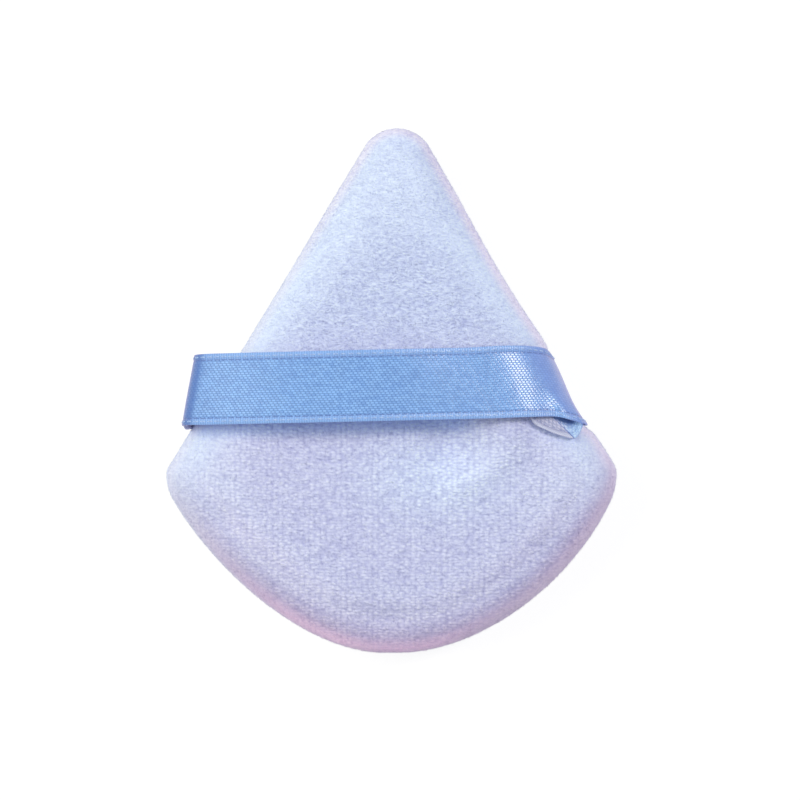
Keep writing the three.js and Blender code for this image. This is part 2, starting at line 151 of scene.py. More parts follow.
# Knit and nap of the velour, with each noise as its amount, its pitch along X and Y, and its seed
WALE_PITCH = 0.9
WALE_WAVER = [(0.2, 3.1, 2.3, 1), (0.12, 0.8, 0.7, 2)]
COURSE_PITCH = 0.62
COURSE_WAVER = [(0.14, 2.7, 1.9, 3), (0.06, 0.9, 0.7, 4)]
KNIT_FULLNESS = 0.8
KNIT_LOWEST = 0.35
KNIT_SEED = 5
KNIT_GRAIN = [(0.2, 0.5, 0.42, 11)]
KNIT_RELIEF = 0.13
KNIT_BRUSHED_OVER = 0.75
BRUSH_SLOPE = [(0.35, 9, 7, 6)]
BRUSH_SWING = 0.3
BRUSH_WAVER = [(0.3, 1.6, 1.2, 7)]
BRUSH_STRANDS = [(0.6, 1.3, 0.36, 8), (0.4, 0.7, 0.26, 9)]
BRUSHED_FROM = (-8, 12)
BRUSHED_BORDER = [(4, 11, 9, 10)]
BRUSHED_LEAST = 0.3
BRUSHED_RELIEF = 0.1
NAP_STRAY = [(0.9, 6, 5, 21), (0.8, 0.8, 0.6, 22)]
RIM_RELIEF = 0.2
REST_CLEARANCE = 0.6

# Pile of the velour
PILE_SINK = 0.15
PILE_DENSITY = 13
PILE_LENGTH = 0.27
PILE_LENGTH_RANGE = (0.65, 1.2)
PILE_WIDTH = 0.06
PILE_LEAN = 1.7
PILE_SCATTER = 0.5
PILE_SEED = 11

# Zones of the velour: where each starts and is full, from the rim or along X or Y, and how strong it is
BASE_SIDE_START = 8
BASE_SIDE_FULL = 10
MIDDLE_DOME_SHARES = (0.05, 0.55)
MIDDLE_FROM_RIM = (0.4, 3.2)
NARROW_END_RANGE = (14, 26)
NARROW_END_MIDDLE = 0.4
SHOULDER_RISE = 2.5
SHOULDER_LEAST = 0.45
# The rim zones below are painted light and shade: a pinkish-white sheen at the rim, mauve shade and pinkish
# reflected light along the base rim, pink and violet light at its very edge, and a pale ring that lifts the
# shade inside it
RIM_END = 2
RIM_SIDE = (-25, 15)
RIM_LEAST = 0.3
BASE_RIM_SIDE = (-32, -12)
BASE_RIM_LEAST = 0.5
BASE_RIM_START = 0.9
BASE_RIM_END = 5
BASE_RIM_WIDENING = 1
BASE_RIM_WIDE_SIDE = (-24, -6)
BASE_EDGE_RANGE = (0.4, 2.8)
PINK_SIDE = (-34, -6)
VIOLET_SIDE = (4, 20)
PALE_RING_RISE = (3.2, 5.4)
PALE_RING_FALL = (5.6, 9.5)
PALE_RING_SHARE = 0.7
# Painted blue shade on the nap just below the strap's lower selvage
STRAP_SHADE_RISE = (-2.8, -0.3)
STRAP_SHADE_LEFT = (-30, -27)
STRAP_SHADE_RIGHT = (9, 14)
STRAP_SHADE_FADE = 1
STRAP_SHADE_SHARE = 0.9

# Colours of the velour: at the rim, of the knit, of the brushed nap, and then of each zone, laid on in turn
# The colour at the rim is paler and bluer: partly the smoother nap there, partly painted light along the
# edges
VELOUR_OUTER = (0.69, 0.79, 0.99)
VELOUR_KNIT = (0.61, 0.64, 0.88)
VELOUR_BRUSHED = (0.58, 0.655, 0.90)
VELOUR_ZONES = {
    "pressed": (0.68, 0.77, 0.99),
    # Painted blue shade under the strap
    "tinted": (0.49, 0.62, 1.0),
    # Painted pinkish-white sheen at the rim
    "rim": (0.90, 0.83, 1.0),
    # Painted light that lifts the shade inside the base rim
    "base_ring": (0.675, 0.675, 0.905),
    # Painted mauve shade and pinkish reflected light along the base rim
    "base_rim": (0.56, 0.475, 0.705),
    # Painted pink and violet light at the very edge of the base rim
    "pink_edge": (0.93, 0.68, 0.92),
    "violet_edge": (0.77, 0.65, 0.84),
}

# Pattern of the velour. Pairs are: warp, pitch and amount; level, gain and start; bump, strength and depth
STITCH_PATTERN_PITCH = (0.76, 0.44, 0.76)
STITCH_PATTERN_RANDOM = 0.6
STITCH_PATTERN_WARP = (2.5, 0.4)
STITCH_PATTERN_LEVEL = (-1.25, 1.05)
NAP_PATTERN_PITCH = (0.62, 0.28, 0.62)
NAP_PATTERN_WARP = (2.2, 1.2)
NAP_PATTERN_LEVEL = (2.4, -0.7)
SOFTNESS_LEVEL = (0.7, 0.3)
TUFT_LEVEL = (0.16, 0.785)
GRAIN_PITCH = 0.22
GRAIN_LEVEL = 0.3
CLOUD_PITCH = 7
CLOUD_LEVEL = 0.1
VELOUR_CONTRAST = 0.44
HOLLOW_BLUE = 0.55
NAP_BLUE = 1.035
VELOUR_BUMP = (0.7, 0.12)

# Ribbon strap
RIBBON_WIDTH = 10.2
RIBBON_THICKNESS = 0.3
RIBBON_STANDOFF = 0.4
RIBBON_END_SETBACK = 0.3
STRAP_Y = 0.75
STRAP_TILT = math.radians(1.3)
STRAP_CREST_X = -5
STRAP_BOW_RADIUS = 56
SPAN_RIGHT = 10.3
STRAP_RUN_OUT = 4
RIGHT_SLOPE = math.tan(math.radians(10.5))
BROW_BACK = 3.3
BROW_RISE = 1.35
LOOP_OUT_NARROW_SIDE = 6.1
LOOP_OUT_BASE_SIDE = 1.45
LOOP_RETURN = [(0.42, 0.1), (0.8, 0.42)]
LOOP_TURN = [(0.12, 3.3, 0.4), (0, 2.4, 0.3), (0.3, 1.5, 0.2), (1.1, 0.74, 0.1)]
LOOP_TURN_END = 2.7
LOOP_DROP = 0.7
RIBBON_NIP = 0.55
LAY_DROP = 1.3
LAY_TURN_ANGLE = 10
LAY_RUN_UP_ANGLE = 48
LAY_RUN_UP_STANDOFF = 1
LAY_EDGE_ANGLE = 82
LAY_EDGE_STANDOFF = 2
STRAP_JOIN_X = -3
LEFT_ARCH_POINTS = 9
RIGHT_ARCH_POINTS = 8
RIBBON_STEP = 0.2
RIBBON_PLAIN_ROWS = 16
RIBBON_SHARP_ANGLE = math.radians(50)

# Tuck of the ribbon at its right end: its fold, and the points of its lower selvage as it doubles back
TUCK_FOLD_FOOT = np.array([27.5, -4.9, 12.25])
TUCK_FOLD_HEAD = np.array([22.4, 5.5, 12.25])
TUCK_RUN_UP = np.array([25.4, -4.15, 13.5])
TUCK_SELVAGE = np.array([
    (27.4, -5.7, 11.8),
    (26.45, -7.2, 11.6),
    (24.3, -6.9, 12.1),
    (22.2, -6.1, 12.4),
    (20.6, -5.0, 12.6),
    (20.2, -3.8, 12.5),
    (22.3, -3.6, 12.3),
])
TUCK_CLEARANCE = [0.35, 0.35, 0.4, 0.6, 0.75, 0.5, 0.3]
TUCK_CLEARANCE_RISE = 3
TUCK_CURLED = [0.2, 0.8, 1, 1, 0.4, 0, 0]
TUCK_LAY_ANGLES = [66, 36, 10]
TUCK_LAY_STANDOFF = 0.3
TUCK_SHARE = 0.62
TUCK_CURL = np.array([0, 0.4, 0.35])
TUCK_CURL_SHARE = 0.13
# Where the tuck shows the ribbon's face; a line of painted shade runs along this crease, and painted shade
# deepens inward in the fold
TUCK_CREASE = (23.0, -3.5)
TUCK_CREASE_NORMAL = (0.717, 0.697)
TUCK_CREASE_HALF_WIDTH = 0.12
TUCK_SHADE_FADE = 0.8
TUCK_SHADE_START = (RIBBON_WIDTH / 2 - 1.3) / TUCK_SHADE_FADE
TUCK_SHADE_MOST = 0.85

# Weave, selvages and stitches of the ribbon
RIBBON_BODY = 0.14
SELVAGE_BODY = 0.06
SELVAGE_BEAD = 0.13
SELVAGE_WIDTH = 0.95
SELVAGE_ROWS = np.array([0.95, 0.85, 0.7, 0.5, 0.3, 0.15, 0.05, 0])
SELVAGE_SETBACK = 0.1
SELVAGE_RIB = 0.36
RIB_LEVEL = (0.45, 0.55)
SELVAGE_STITCH = 1.09
GROOVE_WIDTH = 0.09
GROOVE_DEPTH = 0.08
GROOVE_LEAST = 0.35
GROOVE_STITCH_RANGE = (0.3, 0.7)
DASH_START = 0.45
DASH_LEVEL = (0.6, 0.15)
TURNED_GROOVE = 0.4
STITCH_ROW_REACH = 0.1
STITCH_SIZE = (0.8, 0.22, 0.1)
STITCH_RINGS = 7
STITCH_SIDES = 8
SATIN_ROW = 0.33
SATIN_FLOAT = 0.62
SATIN_STEP = 0.37
SATIN_FULLNESS_LEVEL = (0.5, 0.75)
SATIN_WEAR_LEVEL = (0.2, 0.9)
SATIN_WEAR_PITCH = 2.2
SATIN_BUMP = (0.4, 0.06)

# Slopes of the ribbon, as the upward part of its normal, where its painted shade starts and is full: darker
# on the left loop where it turns down, and violet-blue on the right slope
LOOP_SHADE_NORMAL = (0.965, 0.8)
LOOP_SHADE_SHARE = 0.8
LOOP_SHADE_END_X = -13
SLOPE_SHADE_NORMAL = (0.95, 0.75)
SLOPE_SHADE_SHARE = 0.65
SLOPE_SHADE_START_X = 0

# Colours of the satin, of its reverse, and of the face where the tuck turns it up
SATIN_GAP = (0.02, 0.125, 0.47)
SATIN_FACE = (0.26, 0.52, 0.97)
SATIN_SELVAGE = (0.25, 0.47, 0.92)
SATIN_ROUGHNESS = 0.27
# Dark of the stitched groove's dashes, and of the painted shade along the tuck's crease and deep in its fold
SATIN_SHADE = (0.04, 0.12, 0.42)
# Painted violet-blue shade on the ribbon's right slope
SATIN_SLOPE_SHADE = (0.15, 0.29, 0.78)
REVERSE_GAP = (0.21, 0.25, 0.45)
REVERSE_FACE = (0.35, 0.40, 0.64)
REVERSE_SELVAGE = (0.56, 0.61, 0.82)
REVERSE_ROUGHNESS = 0.35
# Lighter than the satin's own face: painted light on the wall that the tuck turns up
TURNED_LIT_GAP = (0.20, 0.38, 0.80)
TURNED_LIT_FACE = (0.52, 0.74, 1.0)

# Thread and foam
THREAD_TWIST = 1.2
THREAD_DARK = (0.27, 0.42, 0.78)
THREAD_LIGHT = (0.42, 0.60, 0.92)
THREAD_BUMP = (0.5, 0.05)
FOAM_PORE = 0.7
FOAM_PORE_CONTRAST = 1.6
FOAM_HOLLOW = (0.52, 0.47, 0.38)
FOAM_CREAM = (0.89, 0.86, 0.79)
FOAM_BUMP = (0.8, 0.4)

# Two places on each half of the ribbon, between the pad and the lifted strap, in metres
LEFT_FLEX = ((-0.025, 0, 0.007), (-0.019, 0, 0.018))
RIGHT_FLEX = ((0.027, 0, 0.008), (0.019, 0, 0.018))

# Camera, looking straight down, with the picture's width as pixels times the size of one
PICTURE_WIDTH = 800 * 0.1457
CAMERA_X = 1.238
CAMERA_Y = -1.384
CAMERA_LENS = 150
CAMERA_SENSOR = 36
CAMERA_NEAREST = 10

# Studio, in metres
LAMP_DISTANCE = 0.6
KEY_DIRECTION = (-0.69, 0.2, 0.7)
KEY_SIZE = 0.36
KEY_ENERGY = 1.92
KEY_COLOUR = (1.08, 1.03, 0.83)
SHINE_DIRECTION = (0.63, 0.30, 0.71)
SHINE_SIZE = 0.12
SHINE_ENERGY = 1.2
SHINE_COLOUR = (1.02, 0.95, 0.92)
GLINT_DIRECTION = (-0.62, 0.04, 0.78)
GLINT_SIZE = 0.22
GLINT_ENERGY = 0.2
WHITE = (1, 1, 1)
WORLD_LEVEL = 0.39
WORLD_COLOUR = (0.86, 0.94, 1.03)
FLOOR_REACH = 3
FLOOR_COLOUR = 0.85
FLOOR_SEEN_COLOUR = 0.22
FLOOR_GLOW = 0.86

apex_y = PAD_LENGTH / 2
widest_y = apex_y - NARROW_END_TO_WIDEST
wide_aim = np.array([0, widest_y])
edge_start = SEAM_HALF_GAP + RIM_ROLL
front_plateau = PAD_TOP - SEAM_HEIGHT - FRONT_CROWN
back_plateau = SEAM_HEIGHT - BACK_CROWN + REST_FLAT_DEPTH
strap_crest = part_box("ribbon_span")[1].z / MM - RIBBON_THICKNESS / 2


# Small tools

def smoothstep(low, high, value):
    """0 at low and 1 at high, with a soft start and end, also where low is the larger."""
    share = np.clip((value - low) / (high - low), 0, 1)
    return share * share * (3 - 2 * share)


def lattice_noise(x, y, pitch_x, pitch_y, seed):
    """Smooth noise from -1 to 1 that varies over the two pitches."""
    table = np.random.default_rng(seed).uniform(-1, 1, (NOISE_CELLS, NOISE_CELLS))
    u, v = np.asarray(x) / pitch_x, np.asarray(y) / pitch_y
    i, j = np.floor(u).astype(int), np.floor(v).astype(int)
    s, t = u - i, v - j
    s, t = s * s * (3 - 2 * s), t * t * (3 - 2 * t)
    i, right = i % NOISE_CELLS, (i + 1) % NOISE_CELLS
    j, above = j % NOISE_CELLS, (j + 1) % NOISE_CELLS
    near = table[i, j] * (1 - s) + table[right, j] * s
    far = table[i, above] * (1 - s) + table[right, above] * s
    return near * (1 - t) + far * t


def cell_value(i, j, seed):
    """A fixed random number from 0 to 1 for each cell of a grid."""
    table = np.random.default_rng(seed).random((NOISE_CELLS, NOISE_CELLS))
    return table[i % NOISE_CELLS, j % NOISE_CELLS]


def layered_noise(x, y, layers):
    """The sum of noises, each given by its amount, its pitch along X and Y, and its seed."""
    return sum(amount * lattice_noise(x, y, *layer) for amount, *layer in layers)


def new_mesh_object(name, points, faces, material):
    mesh = bpy.data.meshes.new(name)
    mesh.from_pydata([tuple(p) for p in np.asarray(points) * MM], [], faces)
    if material:
        mesh.materials.append(material)
    mesh.polygons.foreach_set("use_smooth", [True] * len(mesh.polygons))
    mesh.update()
    piece = bpy.data.objects.new(name, mesh)
    bpy.context.scene.collection.objects.link(piece)
    return piece


def set_attribute(piece, name, values):
    values = np.asarray(values, np.float32)
    kind, key = ("FLOAT", "value") if values.ndim == 1 else ("FLOAT_VECTOR", "vector")
    attribute = piece.data.attributes.new(name, kind, "POINT")
    attribute.data.foreach_set(key, values.ravel())


# Pad outline

def on_circle(centre, radius, angle):
    return np.array([centre[0] + radius * math.cos(angle), centre[1] + radius * math.sin(angle)])


def half_outline(narrow_shift, half):
    """Points of a half, as a right one, from the narrow end down, and where each moves when drawn in."""
    upper_radius, lower_radius = half["corner_upper_radius"], half["corner_lower_radius"]
    exit_angle = half["corner_exit_angle"]
    apex_centre = np.array([narrow_shift, apex_y - NARROW_END_RADIUS])
    narrow_aim = np.array([narrow_shift, apex_y - NARROW_END_AIM])
    upper_centre = np.array([PAD_WIDTH / 2 - upper_radius, widest_y])
    lower_centre = np.array([PAD_WIDTH / 2 - lower_radius, widest_y])
    between = upper_centre - apex_centre
    radius_share = (NARROW_END_RADIUS - upper_radius) / np.linalg.norm(between)
    side_normal = math.atan2(between[1], between[0]) + math.acos(radius_share)
    side_top = on_circle(apex_centre, NARROW_END_RADIUS, side_normal)
    side_foot = on_circle(upper_centre, upper_radius, side_normal)
    inward = -np.array([math.cos(side_normal), math.sin(side_normal)])
    flank = on_circle(lower_centre, lower_radius, -exit_angle)
    leaving = -np.array([math.sin(exit_angle), math.cos(exit_angle)])
    flat_end = np.array([BASE_FLAT / 2, -PAD_LENGTH / 2])
    base_pull = flat_end + np.array([BASE_MIDDLE_PULL, 0])
    pulls = [flank, flank + leaving * half["flank_pull"], base_pull, flat_end]

    points, aims = [], []
    for share in np.arange(CURVE_STEPS) / CURVE_STEPS:
        angle = math.pi / 2 + (side_normal - math.pi / 2) * share
        points.append(on_circle(apex_centre, NARROW_END_RADIUS, angle))
        aims.append(narrow_aim)
    for share in np.arange(CURVE_STEPS) / CURVE_STEPS:
        drawn = sum(depth * math.exp(-((share - at) / spread) ** 2) for at, spread, depth in half["draws"])
        points.append(side_top + (side_foot - side_top) * share + inward * drawn)
        aims.append(narrow_aim + (wide_aim - narrow_aim) * share)
    for share in np.arange(CURVE_STEPS) / CURVE_STEPS:
        points.append(on_circle(upper_centre, upper_radius, side_normal * (1 - share)))
        aims.append(wide_aim)
    for share in np.arange(CURVE_STEPS) / CURVE_STEPS:
        points.append(on_circle(lower_centre, lower_radius, -exit_angle * share))
        aims.append(wide_aim)
    for t in np.arange(CURVE_STEPS + 1) / CURVE_STEPS:
        weights = [(1 - t) ** 3, 3 * t * (1 - t) ** 2, 3 * t * t * (1 - t), t ** 3]
        points.append(sum(w * p for w, p in zip(weights, pulls)))
        aims.append(wide_aim)
    return np.array(points), np.array(aims)


def spread_evenly(path, columns, count, closed):
    """Resamples a path, and columns that go with it, at even distances."""
    if closed:
        path = np.vstack([path, path[:1]])
        columns = np.vstack([columns, columns[:1]])
    along = np.concatenate([[0], np.cumsum(np.linalg.norm(np.diff(path, axis=0), axis=1))])
    wanted = np.linspace(0, along[-1], count, endpoint=not closed)
    even = [np.interp(wanted, along, column) for column in np.hstack([path, columns]).T]
    even = np.array(even).T
    return even[:, :path.shape[1]], even[:, path.shape[1]:]


def whole_outline():
    """The outline counter-clockwise from the narrow end: down the left half and up the right half."""
    flip = np.array([-1, 1])
    right, right_aims = half_outline(NARROW_END_SHIFT, RIGHT_HALF)
    left, left_aims = half_outline(-NARROW_END_SHIFT, LEFT_HALF)
    points = np.vstack([left * flip, right[1:][::-1]])
    aims = np.vstack([left_aims * flip, right_aims[1:][::-1]])
    return spread_evenly(points, aims, OUTLINE_STEPS, closed=True)


outline, outline_aims = whole_outline()


def sorted_side(side):
    half = outline[outline[:, 0] * side > 0]
    return half[np.argsort(half[:, 1])]


sides = {side: sorted_side(side) for side in (-1, 1)}


def rim_x(y, side):
    return np.interp(y, sides[side][:, 1], sides[side][:, 0])


def mouth_share(points):
    """How far the seam is open at each outline point, where a ribbon end goes in."""
    side = np.sign(points[:, 0])
    drop = np.where(side > 0, LAY_DROP, LOOP_DROP)
    middle = STRAP_Y + rim_x(STRAP_Y, 1) * side * math.tan(STRAP_TILT) - drop
    reach = np.abs(points[:, 1] - middle)
    return 1 - smoothstep(RIBBON_WIDTH / 2, RIBBON_WIDTH / 2 + MOUTH_FADE, reach)


open_share = mouth_share(outline)
outline[:, 0] -= RIBBON_NIP * open_share * (outline[:, 0] > 0)
sides[1] = sorted_side(1)
to_aim = outline_aims - outline
to_aim /= np.linalg.norm(to_aim, axis=1)[:, None]


def ring(inset):
    """The outline drawn in by an inset, which may differ from point to point."""
    return outline + to_aim * np.reshape(inset, (-1, 1))


def inside_polygon(points, polygon):
    """Which points lie inside a closed polygon."""
    x, y = points.T
    inside = np.zeros(len(points), bool)
    for (x0, y0), (x1, y1) in zip(polygon, np.roll(polygon, -1, axis=0)):
        crosses = (y0 > y) != (y1 > y)
        if crosses.any():
            inside[crosses] ^= x[crosses] < x0 + (y[crosses] - y0) * (x1 - x0) / (y1 - y0)
    return inside


# Blown membrane

def blown_membrane():
    xs = np.arange(-PAD_WIDTH / 2 - DOME_MARGIN, PAD_WIDTH / 2 + DOME_MARGIN, DOME_PITCH)
    ys = np.arange(-PAD_LENGTH / 2 - DOME_MARGIN, PAD_LENGTH / 2 + DOME_MARGIN, DOME_PITCH)
    grid_x, grid_y = np.meshgrid(xs, ys, indexing="ij")
    inside = inside_polygon(np.column_stack([grid_x.ravel(), grid_y.ravel()]), outline)
    inside = inside.reshape(grid_x.shape)
    height = np.zeros(grid_x.shape)
    for _ in range(DOME_ROUNDS):
        around = np.roll(height, 1, 0) + np.roll(height, -1, 0)
        around += np.roll(height, 1, 1) + np.roll(height, -1, 1)
        height = np.where(inside, around / 4 + 1, 0)
    return xs, ys, height / height.max()


dome_xs, dome_ys, dome_heights = blown_membrane()


def read_grid(values, x, y):
    """Values on the dome's grid, read at places between its points."""
    u = (np.asarray(x) - dome_xs[0]) / DOME_PITCH
    v = (np.asarray(y) - dome_ys[0]) / DOME_PITCH
    i = np.clip(np.floor(u).astype(int), 0, len(dome_xs) - 2)
    j = np.clip(np.floor(v).astype(int), 0, len(dome_ys) - 2)
    s, t = u - i, v - j
    near = values[i, j] * (1 - s) + values[i + 1, j] * s
    far = values[i, j + 1] * (1 - s) + values[i + 1, j + 1] * s
    return near * (1 - t) + far * t


def dome(x, y):
    """Height of the blown membrane from 0 at the outline to 1 at its top."""
    return read_grid(dome_heights, x, y)


def crown_share(x, y):
    return 1 - (1 - np.clip(dome(x, y), 0, 1)) ** 2


def rim_distance(x, y):
    """How far places in the plan lie from the outline."""
    tree = KDTree(len(outline))
    for place, (px, py) in enumerate(outline):
        tree.insert((px, py, 0), place)
    tree.balance()
    return np.array([tree.find((px, py, 0))[2] for px, py in zip(x, y)])


# Covers

def mound(x, y, place, spread):
    """A soft round form, 1 at its place in the plan and 0 far from it."""
    return np.exp(-(((x - place[0]) / spread[0]) ** 2 + ((y - place[1]) / spread[1]) ** 2))


def press_marks(x, y):
    """The dent that a fingertip left beside the strap, and the bump and the ridge round it."""
    dent = mound(x, y, DENT_PLACE, DENT_SPREAD)
    bump = mound(x, y, BUMP_PLACE, BUMP_SPREAD)
    run_x, run_y = RIDGE_DIRECTION
    from_x, from_y = x - RIDGE_START[0], y - RIDGE_START[1]
    along = (from_x * run_x + from_y * run_y) / RIDGE_LENGTH
    off = from_y * run_x - from_x * run_y
    ridge = np.exp(-((off - RIDGE_OFFSET) / RIDGE_SPREAD) ** 2)
    ridge = ridge * smoothstep(*RIDGE_RISE, along) * (1 - smoothstep(*RIDGE_FALL, along))
    return -DENT_DEPTH * dent + BUMP_HEIGHT * bump + RIDGE_HEIGHT * ridge


def velour_relief(x, y):
    """Height of the knit and of the brushed nap from about 0 to 1, and how far the nap is brushed over."""
    u = (x + layered_noise(x, y, WALE_WAVER)) / WALE_PITCH
    v = (y + layered_noise(x, y, COURSE_WAVER)) / COURSE_PITCH
    column = np.floor(u).astype(int)
    v = v + 0.5 * (column % 2)
    row = np.floor(v).astype(int)
    loop = np.abs(np.sin(math.pi * u)) ** KNIT_FULLNESS * np.abs(np.sin(math.pi * v)) ** KNIT_FULLNESS
    height = KNIT_LOWEST + (1 - KNIT_LOWEST) * cell_value(column, row, KNIT_SEED)
    knit = loop * height + layered_noise(x, y, KNIT_GRAIN)
    slope = layered_noise(x, y, BRUSH_SLOPE)
    brushed_y = y + slope * x * BRUSH_SWING + layered_noise(x, y, BRUSH_WAVER)
    strands = 0.5 + layered_noise(x, brushed_y, BRUSH_STRANDS)
    brushed = smoothstep(*BRUSHED_FROM, y + layered_noise(x, y, BRUSHED_BORDER))
    nap = (BRUSHED_LEAST + (1 - BRUSHED_LEAST) * brushed) * strands * BRUSHED_RELIEF / KNIT_RELIEF
    return knit * (1 - KNIT_BRUSHED_OVER * brushed) + nap, brushed


def nap_direction(x, y, normals):
    """Which way the pile lies: brushed towards the base, with small tufts that stray from it."""
    stray = layered_noise(x, y, NAP_STRAY)
    lie = np.column_stack([np.sin(stray), -np.cos(stray), np.zeros(len(stray))])
    lie -= normals * (lie * normals).sum(1)[:, None]
    return lie / np.maximum(np.linalg.norm(lie, axis=1), 1e-6)[:, None]


def ring_faces(start, count, rings):
    """Quads between rings of equal count, whose first points follow each other from start."""
    faces = []
    for r in range(rings - 1):
        a = start + r * count
        for i in range(count):
            j = (i + 1) % count
            faces.append((a + i, a + count + i, a + count + j, a + j))
    return faces


def close_ring(loop, loop_start, grid_start, pitch, turned):
    """A square grid of points inside a loop, and triangles over both, numbered from where each one starts."""
    low, high = loop.min(0), loop.max(0)
    columns, rows = np.arange(low[0], high[0], pitch), np.arange(low[1], high[1], pitch)
    grid = np.stack(np.meshgrid(columns, rows), -1).reshape(-1, 2)
    middle = loop.mean(0)
    drawn_in = middle + (loop - middle) * (1 - FILL_MARGIN * pitch / FILL_REACH)
    grid = grid[inside_polygon(grid, drawn_in)]
    count = len(loop)
    points = [Vector(p) for p in np.vstack([loop, grid])]
    inside_only, nearness = 1, 1e-6
    filled = delaunay_2d_cdt(points, [], [list(range(count))], inside_only, nearness)
    faces = []
    for triangle in filled[2]:
        face = tuple(i + loop_start if i < count else i - count + grid_start for i in triangle)
        faces.append(face[::-1] if turned else face)
    return grid, faces


def surface_normals(points, faces):
    triangles = np.array([f[:3] for f in faces] + [(f[0], f[2], f[3]) for f in faces if len(f) == 4])
    a, b, c = (points[triangles[:, k]] for k in range(3))
    area = np.cross(b - a, c - a)
    normals = np.zeros_like(points)
    for k in range(3):
        np.add.at(normals, triangles[:, k], area)
    return normals / np.maximum(np.linalg.norm(normals, axis=1), 1e-12)[:, None]


def domed_share(plateau, section):
    """How much of the crown a point has, from none at the rim to all of it on the plateau."""
    return smoothstep(edge_start, plateau - COVER_THICKNESS, section)


def face_height(direction, plateau, crown, limit, x, y, section):
    """Height over the seam of a cover's outside, from its height in the plain edge section."""
    domed = domed_share(plateau, section)
    risen = section + crown * crown_share(x, y) * domed
    if direction > 0:
        risen = risen + press_marks(x, y) * domed
    return np.minimum(risen, limit)


def edge_section(plateau, angle):
    """Inset and height over the seam of the rounded edge, at an angle from the rim up."""
    return EDGE_DEPTH * (1 - math.cos(angle)), edge_start + (plateau - edge_start) * math.sin(angle)


class Swell:
    """How a cover swells over its filling: a coarse skin, held at the rim, is blown up as cloth."""

    def __init__(self, name, direction, plateau, crown, limit):
        every = OUTLINE_STEPS // SKIN_STEPS
        flat, section = [], []
        angles = np.radians(SKIN_ANGLES)
        for angle in angles:
            inset, height = edge_section(plateau, angle)
            flat.append(ring(inset)[::every])
            section.append(np.full(SKIN_STEPS, height))
        first_grid = len(angles) * SKIN_STEPS
        grid, triangles = close_ring(flat[0], 0, first_grid, SKIN_PITCH, turned=False)
        faces = ring_faces(0, SKIN_STEPS, len(angles)) + triangles
        if direction < 0:
            faces = [f[::-1] for f in faces]
        flat = np.vstack([*flat, grid])
        section = np.concatenate([*section, np.full(len(grid), plateau)])
        height = face_height(direction, plateau, crown - SWELL_START, limit, *flat.T, section)
        start = np.column_stack([flat, direction * height])
        held = range(first_grid - SKIN_STEPS, first_grid)
        lifts = direction * self.blown(name, start, faces, held)
        lifts -= SWELL_START * crown_share(*flat.T)
        self.lift = np.array([self.smoothed(flat, lifts, x) for x in dome_xs])

    def smoothed(self, flat, lifts, x):
        """The mean lift of the skin near each place on a line of the dome's grid."""
        away = (flat[:, 0] - x) ** 2 + (flat[:, 1] - dome_ys[:, None]) ** 2
        weights = np.exp(-away / SWELL_REACH ** 2) + 1e-30
        return (weights * lifts).sum(1) / weights.sum(1)

    def blown(self, name, start, faces, held):
        """How far the pressure moves each point of the skin up or down."""
        scene = bpy.context.scene
        skin = new_mesh_object(name, start * SWELL_SCALE, faces, None)
        skin.vertex_groups.new(name="held").add(list(held), 1, "REPLACE")
        cloth = skin.modifiers.new("filling", "CLOTH")
        cloth.settings.vertex_group_mass = "held"
        cloth.settings.use_pressure = True
        cloth.settings.uniform_pressure_force = SWELL_PRESSURE
        cloth.settings.effector_weights.gravity = 0
        cloth.settings.tension_stiffness = SWELL_STIFFNESS
        cloth.settings.compression_stiffness = SWELL_STIFFNESS
        cloth.settings.shear_stiffness = SWELL_STIFFNESS
        cloth.point_cache.frame_start = 1
        cloth.point_cache.frame_end = SWELL_FRAMES
        for number_of_frame in range(1, SWELL_FRAMES + 1):
            scene.frame_set(number_of_frame)
        mesh = skin.evaluated_get(bpy.context.evaluated_depsgraph_get()).data
        end = np.zeros(len(start) * 3, np.float32)
        mesh.vertices.foreach_get("co", end)
        bpy.data.objects.remove(skin)
        scene.frame_set(1)
        moves = end.reshape(-1, 3)[:, 2] / (MM * SWELL_SCALE) - start[:, 2]
        return np.clip(moves, -SWELL_CAP, SWELL_CAP)

    def at(self, x, y):
        """The lift of the skin at places in the plan."""
        return read_grid(self.lift, x, y)


def cover_stations(plateau):
    """Rings of a cover from its plateau round the rim and back inside, each with its inset, its height
    over the seam, and how far it shows: 1 outside, less towards the seam, and -1 inside."""
    lip_gap = LIP_HALF_GAP + (SEAM_HALF_GAP - LIP_HALF_GAP) * open_share
    stations = []
    for angle in np.linspace(0, math.pi / 2, EDGE_STEPS + 1)[::-1]:
        stations.append((*edge_section(plateau, angle), 1))
    for angle in np.linspace(0, math.pi / 2, ROLL_STEPS + 1)[1:]:
        sink = edge_start - (edge_start - lip_gap) * math.sin(angle)
        stations.append((SEAM_GROOVE * (1 - math.cos(angle)), sink, math.cos(angle) ** 2))
    allowance_end = COVER_THICKNESS + SEAM_ALLOWANCE
    inside_top = plateau - COVER_THICKNESS
    for inset, height in [
        (SEAM_GROOVE + ALLOWANCE_TURN, SEAM_HALF_GAP),
        (allowance_end, SEAM_HALF_GAP),
        (allowance_end, SEAM_HALF_GAP + COVER_THICKNESS),
        (COVER_THICKNESS, SEAM_HALF_GAP + COVER_THICKNESS),
        (COVER_THICKNESS + INSIDE_SHOULDER_INSET, inside_top - INSIDE_SHOULDER_DROP),
        (EDGE_DEPTH, inside_top),
    ]:
        stations.append((inset, height, -1))
    return stations


